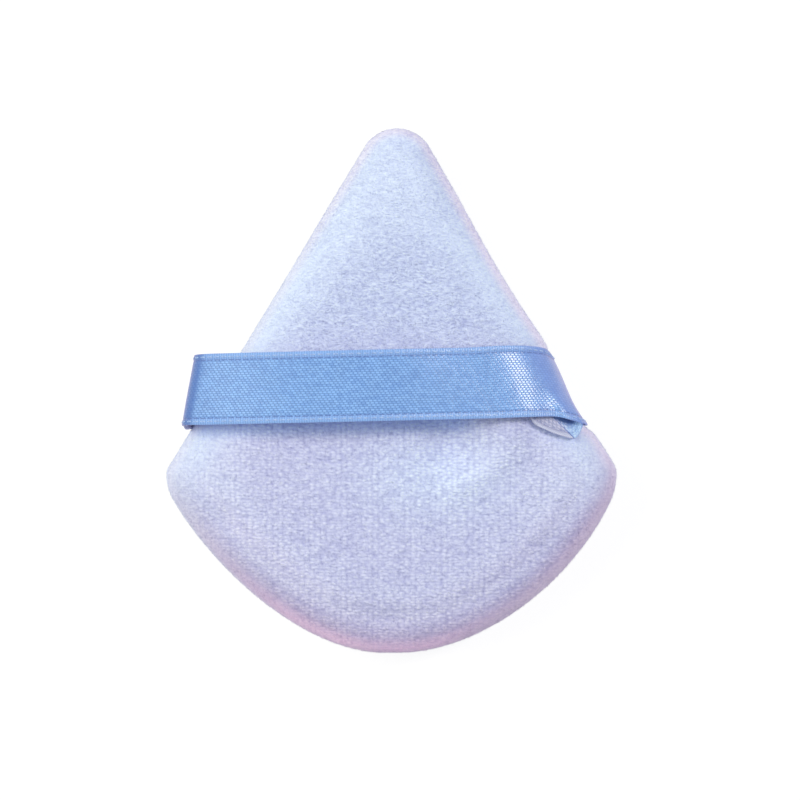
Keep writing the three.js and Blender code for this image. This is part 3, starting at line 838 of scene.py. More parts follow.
def colour_zones(piece, on_top, x, y, section, base_side, from_rim):
    """How far each point takes the colour of each zone of the velour, as attributes of a cover; all zones but
    the pressed one are painted light and shade.
    """
    # Painted pinkish-white sheen along the rim, weaker on the left, down the side wall and on the back
    shoulder = smoothstep(edge_start, edge_start + SHOULDER_RISE, section) * on_top
    shoulder = SHOULDER_LEAST + (1 - SHOULDER_LEAST) * shoulder
    right_side = RIM_LEAST + (1 - RIM_LEAST) * smoothstep(*RIM_SIDE, x)
    set_attribute(piece, "rim", (1 - smoothstep(0, RIM_END, from_rim)) * right_side * shoulder)

    # Painted mauve shade and pinkish reflected light along the base rim, painted pink and violet light at its
    # very edge, and a painted pale ring inside it
    violet_share = smoothstep(*VIOLET_SIDE, x)
    widening = BASE_RIM_WIDENING * smoothstep(*BASE_RIM_WIDE_SIDE, x) * (1 - violet_share)
    base_rim = BASE_RIM_LEAST + (1 - BASE_RIM_LEAST) * smoothstep(*BASE_RIM_SIDE, x)
    base_rim = base_side * base_rim * shoulder
    base_rim = base_rim * (1 - smoothstep(BASE_RIM_START, BASE_RIM_END + widening, from_rim))
    base_edge = base_rim * (1 - smoothstep(*BASE_EDGE_RANGE, from_rim))
    pale_ring = smoothstep(*PALE_RING_RISE, from_rim) * (1 - smoothstep(*PALE_RING_FALL, from_rim))
    set_attribute(piece, "base_rim", base_rim)
    set_attribute(piece, "base_ring", PALE_RING_SHARE * base_side * pale_ring * on_top)
    set_attribute(piece, "pink_edge", base_edge * smoothstep(*PINK_SIDE, x) * (1 - violet_share))
    set_attribute(piece, "violet_edge", base_edge * violet_share)

    set_attribute(piece, "pressed", mound(x, y, PRESSED_PLACE, PRESSED_SPREAD) * on_top)
    # Painted blue shade on the nap just below the strap
    above_selvage = y - (strap_y(x) - RIBBON_WIDTH / 2)
    tinted = smoothstep(*STRAP_SHADE_RISE, above_selvage)
    tinted = tinted * (1 - smoothstep(RIBBON_WIDTH - STRAP_SHADE_FADE, RIBBON_WIDTH, above_selvage))
    tinted = tinted * smoothstep(*STRAP_SHADE_LEFT, x) * (1 - smoothstep(*STRAP_SHADE_RIGHT, x))
    set_attribute(piece, "tinted", STRAP_SHADE_SHARE * tinted * on_top)


def cover(name, direction, plateau, crown, limit, pitch, material):
    """One velour cover: the dense outside, its rolled rim, the turned-in allowance and the inside."""
    swell = Swell(name + "_skin", direction, plateau, crown, limit)
    stations = cover_stations(plateau)
    count = len(outline)
    flat = [ring(inset) for inset, height, shown in stations]
    section = [np.broadcast_to(height, count) for inset, height, shown in stations]
    outside = [np.full(count, shown) for inset, height, shown in stations]
    faces = ring_faces(0, count, len(stations))
    for station, fill_pitch, height, shown, turned in [
        (0, pitch, plateau, 1, False),
        (len(stations) - 1, INSIDE_PITCH, plateau - COVER_THICKNESS, -1, True),
    ]:
        first = sum(len(part) for part in flat)
        grid, triangles = close_ring(flat[station], station * count, first, fill_pitch, turned)
        flat.append(grid)
        section.append(np.full(len(grid), height))
        outside.append(np.full(len(grid), shown))
        faces += triangles
    flat, section, outside = np.vstack(flat), np.concatenate(section), np.concatenate(outside)
    if direction < 0:
        faces = [f[::-1] for f in faces]
    x, y = flat.T
    shown = np.clip(outside, 0, 1)
    over = np.where(outside >= 0, limit, limit - COVER_THICKNESS)
    risen = face_height(direction, plateau, crown, over, x, y, section)
    risen += swell.at(x, y) * domed_share(plateau, section) * (outside == 1)
    points = np.column_stack([x, y, SEAM_HEIGHT + direction * np.minimum(risen, over)])

    normals = surface_normals(points, faces)
    from_rim = rim_distance(x, y)
    base_side = smoothstep(widest_y + BASE_SIDE_START, widest_y - BASE_SIDE_FULL, y)
    middle_share = smoothstep(*MIDDLE_DOME_SHARES, dome(x, y))
    middle_share = np.maximum(middle_share, base_side * smoothstep(*MIDDLE_FROM_RIM, from_rim))
    middle_share = np.maximum(middle_share, NARROW_END_MIDDLE * smoothstep(*NARROW_END_RANGE, y))
    relief, brushed = velour_relief(x, y)
    rests = (points[:, 2] < REST_CLEARANCE) & (direction < 0)
    tuft = 0.5 + (relief - 0.5) * (RIM_RELIEF + (1 - RIM_RELIEF) * middle_share)
    depth = KNIT_RELIEF * tuft - PILE_SINK
    points += normals * (np.where(rests, 0, depth) * shown)[:, None]
    piece = new_mesh_object(name, points, faces, material)
    set_attribute(piece, "pile", np.where(rests, 0, shown))
    set_attribute(piece, "tuft", np.clip(tuft, 0, 1))
    set_attribute(piece, "brushed", brushed)
    set_attribute(piece, "middle", middle_share)
    colour_zones(piece, direction > 0, x, y, section, base_side, from_rim)
    set_attribute(piece, "nap", nap_direction(x, y, normals))
    return piece


def foam_filling(material):
    """The foam, a little smaller than the room in the covers, with a groove for their seam allowances."""
    groove = SEAM_HALF_GAP + COVER_THICKNESS + FOAM_CLEARANCE
    wall = COVER_THICKNESS + FOAM_CLEARANCE
    groove_end = wall + SEAM_ALLOWANCE
    shoulder = wall + INSIDE_SHOULDER_INSET
    front_top, back_top = front_plateau - wall, back_plateau - wall
    stations = [
        (EDGE_DEPTH, front_top),
        (shoulder, front_top - INSIDE_SHOULDER_DROP),
        (wall, groove),
        (groove_end, groove),
        (groove_end, -groove),
        (wall, -groove),
        (shoulder, INSIDE_SHOULDER_DROP - back_top),
        (EDGE_DEPTH, -back_top),
    ]
    every = OUTLINE_STEPS // FOAM_STEPS
    flat = [ring(inset)[::every] for inset, height in stations]
    section = [np.full(FOAM_STEPS, height) for inset, height in stations]
    faces = ring_faces(0, FOAM_STEPS, len(stations))
    for station, turned in [(0, False), (len(stations) - 1, True)]:
        first = sum(len(part) for part in flat)
        grid, triangles = close_ring(flat[station], station * FOAM_STEPS, first, INSIDE_PITCH, turned)
        flat.append(grid)
        section.append(np.full(len(grid), stations[station][1]))
        faces += triangles
    (x, y), section = np.vstack(flat).T, np.concatenate(section)
    upper = face_height(1, front_plateau, FRONT_CROWN, math.inf, x, y, section)
    lower = face_height(-1, back_plateau, BACK_CROWN, SEAM_HEIGHT - wall, x, y, -section)
    height = SEAM_HEIGHT + np.where(section > 0, upper, -lower)
    return new_mesh_object("foam_filling", np.column_stack([x, y, height]), faces, material)


# Pile

def add_inputs(tree, sockets):
    """Adds named inputs to a tree, and returns the identifier of each."""
    made = {}
    for name, kind in sockets:
        socket = tree.interface.new_socket(name, in_out="INPUT", socket_type=f"NodeSocket{kind}")
        made[name] = socket.identifier
    return made


def pile_tree():
    """Fibres scattered over a cover, leaning along its nap."""
    tree = bpy.data.node_groups.new("velour_pile", "GeometryNodeTree")
    inputs = add_inputs(tree, [
        ("Cover", "Geometry"), ("Fibre", "Object"), ("Fibres per area", "Float"),
        ("Length", "Float"), ("Width", "Float"), ("Lean", "Float"), ("Scatter", "Float"),
        ("Seed", "Int"), ("Finish", "Material"),
    ])
    tree.interface.new_socket("Pile", in_out="OUTPUT", socket_type="NodeSocketGeometry")
    nodes, links = tree.nodes, tree.links
    given = nodes.new("NodeGroupInput").outputs

    def attribute(name, kind):
        node = nodes.new("GeometryNodeInputNamedAttribute")
        node.data_type = kind
        node.inputs["Name"].default_value = name
        return node.outputs["Attribute"]

    def vector(operation, a, b=None, scale=None):
        node = nodes.new("ShaderNodeVectorMath")
        node.operation = operation
        links.new(a, node.inputs[0])
        if b is not None:
            links.new(b, node.inputs[1])
        if scale is not None:
            links.new(scale, node.inputs["Scale"])
        return node.outputs["Vector"]

    def times(a, b):
        node = nodes.new("ShaderNodeMath")
        node.operation = "MULTIPLY"
        links.new(a, node.inputs[0])
        links.new(b, node.inputs[1])
        return node.outputs["Value"]

    scatter = nodes.new("GeometryNodeDistributePointsOnFaces")
    links.new(given["Cover"], scatter.inputs["Mesh"])
    links.new(times(given["Fibres per area"], attribute("pile", "FLOAT")), scatter.inputs["Density"])
    links.new(given["Seed"], scatter.inputs["Seed"])

    stray = nodes.new("FunctionNodeRandomValue")
    stray.data_type = "FLOAT_VECTOR"
    stray.inputs[0].default_value = (-1, -1, -1)
    stray.inputs[1].default_value = (1, 1, 1)
    links.new(given["Seed"], stray.inputs["Seed"])
    upright = scatter.outputs["Normal"]
    leaning = vector("SCALE", attribute("nap", "FLOAT_VECTOR"), scale=given["Lean"])
    strayed = vector("SCALE", stray.outputs[0], scale=given["Scatter"])
    aim = vector("ADD", vector("ADD", upright, leaning), strayed)

    grow = nodes.new("FunctionNodeAlignRotationToVector")
    grow.axis = "Z"
    links.new(aim, grow.inputs["Vector"])
    face_up = nodes.new("FunctionNodeAlignRotationToVector")
    face_up.axis = "Y"
    face_up.pivot_axis = "Z"
    links.new(grow.outputs["Rotation"], face_up.inputs["Rotation"])
    links.new(upright, face_up.inputs["Vector"])

    vary = nodes.new("FunctionNodeRandomValue")
    vary.data_type = "FLOAT"
    vary.inputs[2].default_value, vary.inputs[3].default_value = PILE_LENGTH_RANGE
    links.new(given["Seed"], vary.inputs["Seed"])
    size = nodes.new("ShaderNodeCombineXYZ")
    links.new(given["Width"], size.inputs["X"])
    links.new(given["Width"], size.inputs["Y"])
    links.new(times(given["Length"], vary.outputs[1]), size.inputs["Z"])

    fibre = nodes.new("GeometryNodeObjectInfo")
    links.new(given["Fibre"], fibre.inputs["Object"])
    place = nodes.new("GeometryNodeInstanceOnPoints")
    links.new(scatter.outputs["Points"], place.inputs["Points"])
    links.new(fibre.outputs["Geometry"], place.inputs["Instance"])
    links.new(face_up.outputs["Rotation"], place.inputs["Rotation"])
    links.new(size.outputs["Vector"], place.inputs["Scale"])
    real = nodes.new("GeometryNodeRealizeInstances")
    links.new(place.outputs["Instances"], real.inputs["Geometry"])
    finish = nodes.new("GeometryNodeSetMaterial")
    links.new(real.outputs["Geometry"], finish.inputs["Geometry"])
    links.new(given["Finish"], finish.inputs["Material"])
    links.new(finish.outputs["Geometry"], nodes.new("NodeGroupOutput").inputs["Pile"])
    return tree, inputs


def grown(name, carrier, tree, values):
    """A plain mesh object of what a tree makes of a carrier, whose modifier is removed again."""
    modifier = carrier.modifiers.new(name, "NODES")
    modifier.node_group = tree
    for identifier, value in values.items():
        modifier[identifier] = value
    evaluated = carrier.evaluated_get(bpy.context.evaluated_depsgraph_get())
    mesh = bpy.data.meshes.new_from_object(evaluated)
    mesh.name = name
    carrier.modifiers.remove(modifier)
    piece = bpy.data.objects.new(name, mesh)
    bpy.context.scene.collection.objects.link(piece)
    return piece


def fibre_shape(material):
    """One fibre as a thin pyramid that stands on the origin, a unit wide and high."""
    points = np.array([(-0.5, 0, 0), (0.5, 0, 0), (0, 0.45, 0.12), (0, 0.08, 1)])
    faces = [(0, 2, 1), (0, 1, 3), (1, 2, 3), (2, 0, 3)]
    return new_mesh_object("fibre", points / MM, faces, material)


def pile_on(name, carrier, tree, inputs, fibre, material):
    return grown(name, carrier, tree, {
        inputs["Fibre"]: fibre,
        inputs["Fibres per area"]: PILE_DENSITY / MM ** 2,
        inputs["Length"]: PILE_LENGTH * MM,
        inputs["Width"]: PILE_WIDTH * MM,
        inputs["Lean"]: PILE_LEAN,
        inputs["Scatter"]: PILE_SCATTER,
        inputs["Seed"]: PILE_SEED,
        inputs["Finish"]: material,
    })


# Ribbon strap

def strap_y(x):
    return STRAP_Y + x * math.tan(STRAP_TILT)


def strap_height(x):
    return strap_crest - (x - STRAP_CREST_X) ** 2 / (2 * STRAP_BOW_RADIUS)


def pad_top(x, y):
    """Height of the front cover's outside at a place on the right of the pad."""
    inset = np.clip(rim_x(y, 1) - x, 0, EDGE_DEPTH)
    section = edge_start + (front_plateau - edge_start) * np.sqrt(1 - (1 - inset / EDGE_DEPTH) ** 2)
    return SEAM_HEIGHT + face_height(1, front_plateau, FRONT_CROWN, math.inf, x, y, section)


def tail_points(side, y):
    rim = rim_x(y, side)
    tail = rim - side * (COVER_THICKNESS + SEAM_ALLOWANCE - RIBBON_END_SETBACK)
    return [(tail, y, SEAM_HEIGHT), (rim - side * SEAM_GROOVE, y, SEAM_HEIGHT)]


def left_end_points(across):
    """The loop that stands out over the left rim, and the arch up to the middle."""
    y = strap_y(rim_x(STRAP_Y, -1)) + across
    rim = rim_x(y, -1)
    out = np.interp(across / RIBBON_WIDTH + 0.5, [0, 1], [LOOP_OUT_BASE_SIDE, LOOP_OUT_NARROW_SIDE])
    edge = rim - out
    top = strap_height(edge + LOOP_TURN_END)
    loop = []
    for share, rise in LOOP_RETURN:
        loop.append((rim - out * share, y - LOOP_DROP, SEAM_HEIGHT + (top - SEAM_HEIGHT) * rise))
    for inward, below, drop in LOOP_TURN:
        loop.append((edge + inward, y - LOOP_DROP * drop, top - below))
    arch = []
    for x in np.linspace(edge + LOOP_TURN_END, STRAP_JOIN_X, LEFT_ARCH_POINTS):
        arch.append((x, strap_y(x) + across, strap_height(x)))
    return tail_points(-1, y - LOOP_DROP) + loop + arch


def right_end_points(across):
    """The arch from the middle, the tuck that dies out towards the narrow end, and the run over the rim."""
    share = across / RIBBON_WIDTH + 0.5
    tucked = 1 - smoothstep(0, TUCK_SHARE, share)
    y = strap_y(rim_x(STRAP_Y, 1)) + across
    lean = rim_x(y, 1) - rim_x(strap_y(rim_x(STRAP_Y, 1)), 1)

    def lay(degrees, standoff):
        """A point off the rounded edge, at an angle from the rim up."""
        angle = math.radians(degrees)
        place = y - LAY_DROP * (1 - math.sin(angle))
        out = standoff * math.cos(angle) - EDGE_DEPTH * (1 - math.cos(angle))
        rise = edge_start + (front_plateau - edge_start + standoff) * math.sin(angle)
        return np.array([rim_x(place, 1) + out, place, SEAM_HEIGHT + rise])

    arch = []
    arch_end = SPAN_RIGHT + STRAP_RUN_OUT / 2
    straight_from = STRAP_CREST_X + STRAP_BOW_RADIUS * RIGHT_SLOPE
    for x in np.linspace(STRAP_JOIN_X, arch_end, RIGHT_ARCH_POINTS):
        slid = x + lean * smoothstep(0, arch_end, x)
        bowed = min(x, straight_from)
        arch.append((slid, strap_y(slid) + across, strap_height(bowed) - (x - bowed) * RIGHT_SLOPE))
    fold = TUCK_FOLD_FOOT + (TUCK_FOLD_HEAD - TUCK_FOLD_FOOT) * share
    turn = lay(LAY_TURN_ANGLE, RIBBON_STANDOFF) * (1 - tucked) + fold * tucked
    tucked_run_up = fold + TUCK_RUN_UP - TUCK_FOLD_FOOT
    run_up = lay(LAY_RUN_UP_ANGLE, LAY_RUN_UP_STANDOFF) * (1 - tucked) + tucked_run_up * tucked
    edge = lay(LAY_EDGE_ANGLE, LAY_EDGE_STANDOFF)
    brow = edge + np.array([-BROW_BACK, 0, BROW_RISE])
    top = [brow, edge, run_up, turn]
    lip_y = y - LAY_DROP
    lip = np.array([rim_x(lip_y, 1) + RIBBON_STANDOFF, lip_y, SEAM_HEIGHT + edge_start - RIM_ROLL / 2])
    doubled = []
    spans = len(TUCK_SELVAGE) + len(TUCK_LAY_ANGLES) + 1
    for k, (place, clearance) in enumerate(zip(TUCK_SELVAGE, TUCK_CLEARANCE)):
        plain = (lip - turn) * (k + 1) / spans
        point = turn + plain * (1 - tucked) + (place - TUCK_FOLD_FOOT) * tucked
        if tucked > 0:
            clear = clearance * min(1, TUCK_CLEARANCE_RISE * tucked)
            point[2] = max(point[2], pad_top(point[0], point[1]) + clear)
        curl = 1 - smoothstep(0, TUCK_CURL_SHARE, share)
        doubled.append(point + TUCK_CURL * curl * TUCK_CURLED[k])
    for k, degrees in enumerate(TUCK_LAY_ANGLES):
        plain = turn + (lip - turn) * (k + 1 + len(TUCK_SELVAGE)) / spans
        doubled.append(plain * (1 - tucked) + lay(degrees, TUCK_LAY_STANDOFF) * tucked)
    mouth = (rim_x(lip_y, 1), lip_y, SEAM_HEIGHT + SEAM_HALF_GAP - RIBBON_THICKNESS / 2)
    return arch + top + doubled + [lip, mouth] + tail_points(1, lip_y)[::-1]


def smooth_path(points, steps):
    """A centripetal Catmull-Rom curve through the points, with a number of steps for each span."""
    points = np.vstack([2 * points[0] - points[1], points, 2 * points[-1] - points[-2]])
    path = []
    for p0, p1, p2, p3, count in zip(points, points[1:], points[2:], points[3:], steps):
        t0 = 0
        t1 = t0 + np.linalg.norm(p1 - p0) ** 0.5
        t2 = t1 + np.linalg.norm(p2 - p1) ** 0.5
        t3 = t2 + np.linalg.norm(p3 - p2) ** 0.5
        t = np.linspace(t1, t2, count, endpoint=False)[:, None]
        a1 = (t1 - t) / (t1 - t0) * p0 + (t - t0) / (t1 - t0) * p1
        a2 = (t2 - t) / (t2 - t1) * p1 + (t - t1) / (t2 - t1) * p2
        a3 = (t3 - t) / (t3 - t2) * p2 + (t - t2) / (t3 - t2) * p3
        b1 = (t2 - t) / (t2 - t0) * a1 + (t - t0) / (t2 - t0) * a2
        b2 = (t3 - t) / (t3 - t1) * a2 + (t - t1) / (t3 - t1) * a3
        path.append((t2 - t) / (t2 - t1) * b1 + (t - t1) / (t2 - t1) * b2)
    return np.vstack([*path, points[-2:-1]])


def ribbon_rows():
    """Places across the ribbon, closer together at the selvages."""
    plain = RIBBON_WIDTH / 2 - SELVAGE_WIDTH - SELVAGE_SETBACK
    half = [*np.linspace(0, plain, RIBBON_PLAIN_ROWS), *(RIBBON_WIDTH / 2 - SELVAGE_ROWS)]
    return np.array([-v for v in half[:0:-1]] + half)


def ribbon_thickness(across, along):
    """Half thickness: thin at the stitched groove, with a beaded selvage outside it."""
    reach = np.abs(across) - (RIBBON_WIDTH / 2 - SELVAGE_WIDTH)
    stitch = 0.5 + 0.5 * np.cos(2 * math.pi * along / SELVAGE_STITCH)
    sunk = GROOVE_LEAST + (1 - GROOVE_LEAST) * smoothstep(*GROOVE_STITCH_RANGE, stitch)
    groove = np.exp(-(reach / GROOVE_WIDTH) ** 2) * sunk
    bead = np.clip(1 - ((reach - SELVAGE_WIDTH / 2) / (SELVAGE_WIDTH / 2)) ** 2, 0, 1) ** 0.5
    body = np.where(reach > 0, SELVAGE_BODY, RIBBON_BODY)
    return body + SELVAGE_BEAD * bead * (reach > 0) - GROOVE_DEPTH * groove


def strip_faces(wide, long):
    """Faces of a strip with two layers of points: of its upper side, of its lower side and of its edges."""
    below = wide * long

    def at(row, column):
        return row * long + column

    upper, lower, edges = [], [], []
    for r in range(wide - 1):
        for c in range(long - 1):
            corners = (at(r, c), at(r, c + 1), at(r + 1, c + 1), at(r + 1, c))
            upper.append(corners)
            lower.append(tuple(below + corners[k] for k in (0, 3, 2, 1)))
    last, end = wide - 1, long - 1
    for c in range(end):
        edges.append((at(0, c), below + at(0, c), below + at(0, c + 1), at(0, c + 1)))
        edges.append((at(last, c), at(last, c + 1), below + at(last, c + 1), below + at(last, c)))
    for r in range(last):
        edges.append((at(r, 0), at(r + 1, 0), below + at(r + 1, 0), below + at(r, 0)))
        edges.append((at(r, end), below + at(r, end), below + at(r + 1, end), at(r + 1, end)))
    return upper, lower, edges


def stitch_places(rows, along, surface, lengthwise, normals):
    """Place, run and upward direction of each stitch, along the middle of both selvages."""
    middle = RIBBON_WIDTH / 2 - SELVAGE_WIDTH / 2
    stitches = []
    for r, row in enumerate(rows):
        if abs(abs(row) - middle) < STITCH_ROW_REACH:
            columns = np.hstack([surface[r], lengthwise[r], normals[r]]).T
            first, last = sorted((along[r, 0], along[r, -1]))
            places = np.arange(math.ceil(first / SELVAGE_STITCH), math.floor(last / SELVAGE_STITCH)) + 0.5
            for place in places * SELVAGE_STITCH:
                stitches.append([np.interp(place, along[r], column) for column in columns])
    return np.array(stitches)


def ribbon_half(name, end_points, joined_first, face, reverse):
    """Half of the ribbon as a closed strip with a UV map, its flat length, and its stitch places."""
    rows = ribbon_rows()
    guides = np.array([end_points(v) for v in rows], float)
    spans = np.linalg.norm(np.diff(guides, axis=1), axis=2).max(0)
    steps = np.maximum(2, np.ceil(spans / RIBBON_STEP)).astype(int)
    grid = np.array([smooth_path(points, steps) for points in guides])
    lengths = np.linalg.norm(np.diff(grid, axis=1), axis=2)
    along = np.concatenate([np.zeros((len(rows), 1)), np.cumsum(lengths, axis=1)], axis=1)
    flat_length = along[:, -1].mean()
    if not joined_first:
        along = along - along[:, -1:]
    across = np.broadcast_to(rows[:, None], along.shape)
    lengthwise = np.gradient(grid, axis=1)
    crosswise = np.gradient(grid, axis=0)
    normals = np.cross(lengthwise, crosswise)
    normals /= np.linalg.norm(normals, axis=2)[:, :, None]
    thick = ribbon_thickness(across, along)[:, :, None]
    upper, lower = grid + normals * thick, grid - normals * thick
    points = np.vstack([upper.reshape(-1, 3), lower.reshape(-1, 3)])
    uv = np.tile(np.column_stack([along.ravel(), across.ravel()]), (2, 1))
    face_groups = strip_faces(*along.shape)
    piece = new_mesh_object(name, points, sum(face_groups, []), face)
    piece.data.materials.append(reverse)
    sides_of_faces = np.repeat([0, 1, 0], [len(group) for group in face_groups]).astype(np.int32)
    piece.data.polygons.foreach_set("material_index", sides_of_faces)
    layer = piece.data.uv_layers.new(name="weave")
    corners = np.zeros(len(piece.data.loops), np.int32)
    piece.data.loops.foreach_get("vertex_index", corners)
    layer.data.foreach_set("uv", (uv[corners] * MM).astype(np.float32).ravel())
    piece.data.set_sharp_from_angle(angle=RIBBON_SHARP_ANGLE)
    off_crease = (points[:, :2] - TUCK_CREASE) @ TUCK_CREASE_NORMAL
    set_attribute(piece, "turned", smoothstep(-TUCK_CREASE_HALF_WIDTH, TUCK_CREASE_HALF_WIDTH, off_crease))
    # Painted shade by how far each point's normal tips: on the left loop where it turns down, and violet-blue
    # on the right slope
    x, upward = grid[:, :, 0], normals[:, :, 2]
    bent = LOOP_SHADE_SHARE * smoothstep(*LOOP_SHADE_NORMAL, upward) * (x < LOOP_SHADE_END_X)
    glancing = SLOPE_SHADE_SHARE * smoothstep(*SLOPE_SHADE_NORMAL, upward) * (x > SLOPE_SHADE_START_X)
    set_attribute(piece, "bent", np.tile(bent.ravel(), 2))
    set_attribute(piece, "glancing", np.tile(glancing.ravel(), 2))
    return piece, flat_length, stitch_places(rows, along, upper, lengthwise, normals)


# Stitches

def stitch_shape(material):
    """One stitch as a closed spindle that runs along X, a unit long, wide and high."""
    rings, around = STITCH_RINGS, STITCH_SIDES
    points = [(-0.5, 0, 0)]
    for k in range(1, rings):
        angle = math.pi * k / rings
        radius = 0.5 * math.sin(angle) ** 0.6
        for a in range(around):
            turn = 2 * math.pi * a / around
            points.append((-0.5 * math.cos(angle), radius * math.cos(turn), radius * math.sin(turn)))
    points.append((0.5, 0, 0))
    faces = []
    for a in range(around):
        b = (a + 1) % around
        faces.append((0, 1 + b, 1 + a))
        for k in range(rings - 2):
            low, high = 1 + k * around, 1 + (k + 1) * around
            faces.append((low + a, low + b, high + b, high + a))
        tip = 1 + (rings - 2) * around
        faces.append((tip + a, tip + b, len(points) - 1))
    return new_mesh_object("stitch", np.array(points) / MM, faces, material)


def stitch_tree():
    """A stitch on every point, turned along its run and its upward direction."""
    tree = bpy.data.node_groups.new("stitch_run", "GeometryNodeTree")
    inputs = add_inputs(tree, [
        ("Places", "Geometry"), ("Stitch", "Object"), ("Size", "Vector"), ("Finish", "Material"),
    ])
    tree.interface.new_socket("Stitches", in_out="OUTPUT", socket_type="NodeSocketGeometry")
    nodes, links = tree.nodes, tree.links
    given = nodes.new("NodeGroupInput").outputs
    turned = None
    for axis, pivot, name in [("X", "AUTO", "run"), ("Z", "X", "up")]:
        direction = nodes.new("GeometryNodeInputNamedAttribute")
        direction.data_type = "FLOAT_VECTOR"
        direction.inputs["Name"].default_value = name
        align = nodes.new("FunctionNodeAlignRotationToVector")
        align.axis = axis
        align.pivot_axis = pivot
        links.new(direction.outputs["Attribute"], align.inputs["Vector"])
        if turned:
            links.new(turned, align.inputs["Rotation"])
        turned = align.outputs["Rotation"]
    stitch = nodes.new("GeometryNodeObjectInfo")
    links.new(given["Stitch"], stitch.inputs["Object"])
    place = nodes.new("GeometryNodeInstanceOnPoints")
    links.new(given["Places"], place.inputs["Points"])
    links.new(stitch.outputs["Geometry"], place.inputs["Instance"])
    links.new(turned, place.inputs["Rotation"])
    links.new(given["Size"], place.inputs["Scale"])
    real = nodes.new("GeometryNodeRealizeInstances")
    links.new(place.outputs["Instances"], real.inputs["Geometry"])
    finish = nodes.new("GeometryNodeSetMaterial")
    links.new(real.outputs["Geometry"], finish.inputs["Geometry"])
    links.new(given["Finish"], finish.inputs["Material"])
    links.new(finish.outputs["Geometry"], nodes.new("NodeGroupOutput").inputs["Stitches"])
    return tree, inputs


def stitches_at(name, places, size, tree, inputs, stitch, material):
    """Stitches at rows of place, run and upward direction."""
    carrier = new_mesh_object(name + "_places", places[:, :3], [], None)
    set_attribute(carrier, "run", places[:, 3:6])
    set_attribute(carrier, "up", places[:, 6:9])
    piece = grown(name, carrier, tree, {
        inputs["Stitch"]: stitch,
        inputs["Size"]: [s * MM for s in size],
        inputs["Finish"]: material,
    })
    bpy.data.objects.remove(carrier)
    return piece


# Materials

class Pattern:
    """The nodes of a material or of the world, with short calls for the steps of its pattern."""

    def __init__(self, owner):
        owner.use_nodes = True
        self.nodes = owner.node_tree.nodes
        self.links = owner.node_tree.links

    def feed(self, value, socket):
        """Gives a socket another socket's value, a plain number, or the parts of a vector or colour."""
        if isinstance(value, bpy.types.NodeSocket):
            self.links.new(value, socket)
        elif isinstance(value, (int, float)):
            socket.default_value = value
        else:
            alpha = (1,) * (len(socket.default_value) - len(value))
            socket.default_value = (*value, *alpha)

    def step(self, kind, values, places, output, **properties):
        """A new node with its properties set and values fed to some of its inputs, and one of its outputs."""
        node = self.nodes.new(f"ShaderNode{kind}")
        for name, value in properties.items():
            setattr(node, name, value)
        for value, place in zip(values, places):
            self.feed(value, node.inputs[place])
        return node.outputs[output]

    def number(self, operation, *values):
        return self.step("Math", values, range(3), "Value", operation=operation)

    def vector(self, operation, *values):
        return self.step("VectorMath", values, range(3), "Vector", operation=operation)

    def joined(self, *parts):
        return self.step("CombineXYZ", parts, range(3), "Vector")

    def mixed(self, share, first, second):
        """A colour between two colours."""
        return self.step("Mix", (share, first, second), (0, 6, 7), 2, data_type="RGBA")

    def between(self, share, first, second):
        """A number between two numbers."""
        return self.step("Mix", (share, first, second), (0, 2, 3), 0)

    def attribute(self, name):
        return self.step("Attribute", (), (), "Fac", attribute_name=name)

    def place(self):
        return self.step("TexCoord", (), (), "Object")

    def texture(self, kind, vector, settings, output, **properties):
        values, places = (vector, *settings.values()), ("Vector", *settings)
        return self.step(f"Tex{kind}", values, places, output, **properties)

    def noise(self, pitch, detail):
        """Noise over Object coordinates whose features are about a pitch apart."""
        return self.texture("Noise", self.place(), {"Scale": 1 / (pitch * MM), "Detail": detail}, "Fac")

    def stretched(self, pitch, warp_pitch, warp):
        """Object coordinates in units of a pitch for each axis, bent by a slow noise."""
        place = self.place()
        slow = self.texture("Noise", place, {"Scale": 1 / (warp_pitch * MM), "Detail": 1}, "Color")
        bent = self.vector("MULTIPLY_ADD", slow, [warp * MM] * 3, place)
        return self.vector("MULTIPLY", bent, [1 / (p * MM) for p in pitch])

    def repeated(self, length, pitch):
        """How far a length has gone through its pitch, from 0 to 1 and again from 0."""
        return self.number("FRACT", self.number("DIVIDE", length, pitch * MM))

    def rounded(self, share):
        """0 at both ends of a share from 0 to 1, and 1 in its middle."""
        rest = self.number("SUBTRACT", 1, share)
        return self.number("MULTIPLY", self.number("MULTIPLY", share, rest), 4)

    def bump(self, shader, height, strength, depth):
        values, places = (strength, depth * MM, height), ("Strength", "Distance", "Height")
        self.feed(self.step("Bump", values, places, "Normal"), shader.inputs["Normal"])


def new_material(name, settings):
    """A material, its pattern and its shader, with plain settings of the shader."""
    material = bpy.data.materials.new(name)
    pattern = Pattern(material)
    shader = pattern.nodes["Principled BSDF"]
    for setting, value in settings.items():
        pattern.feed(value, shader.inputs[setting])
    return material, pattern, shader


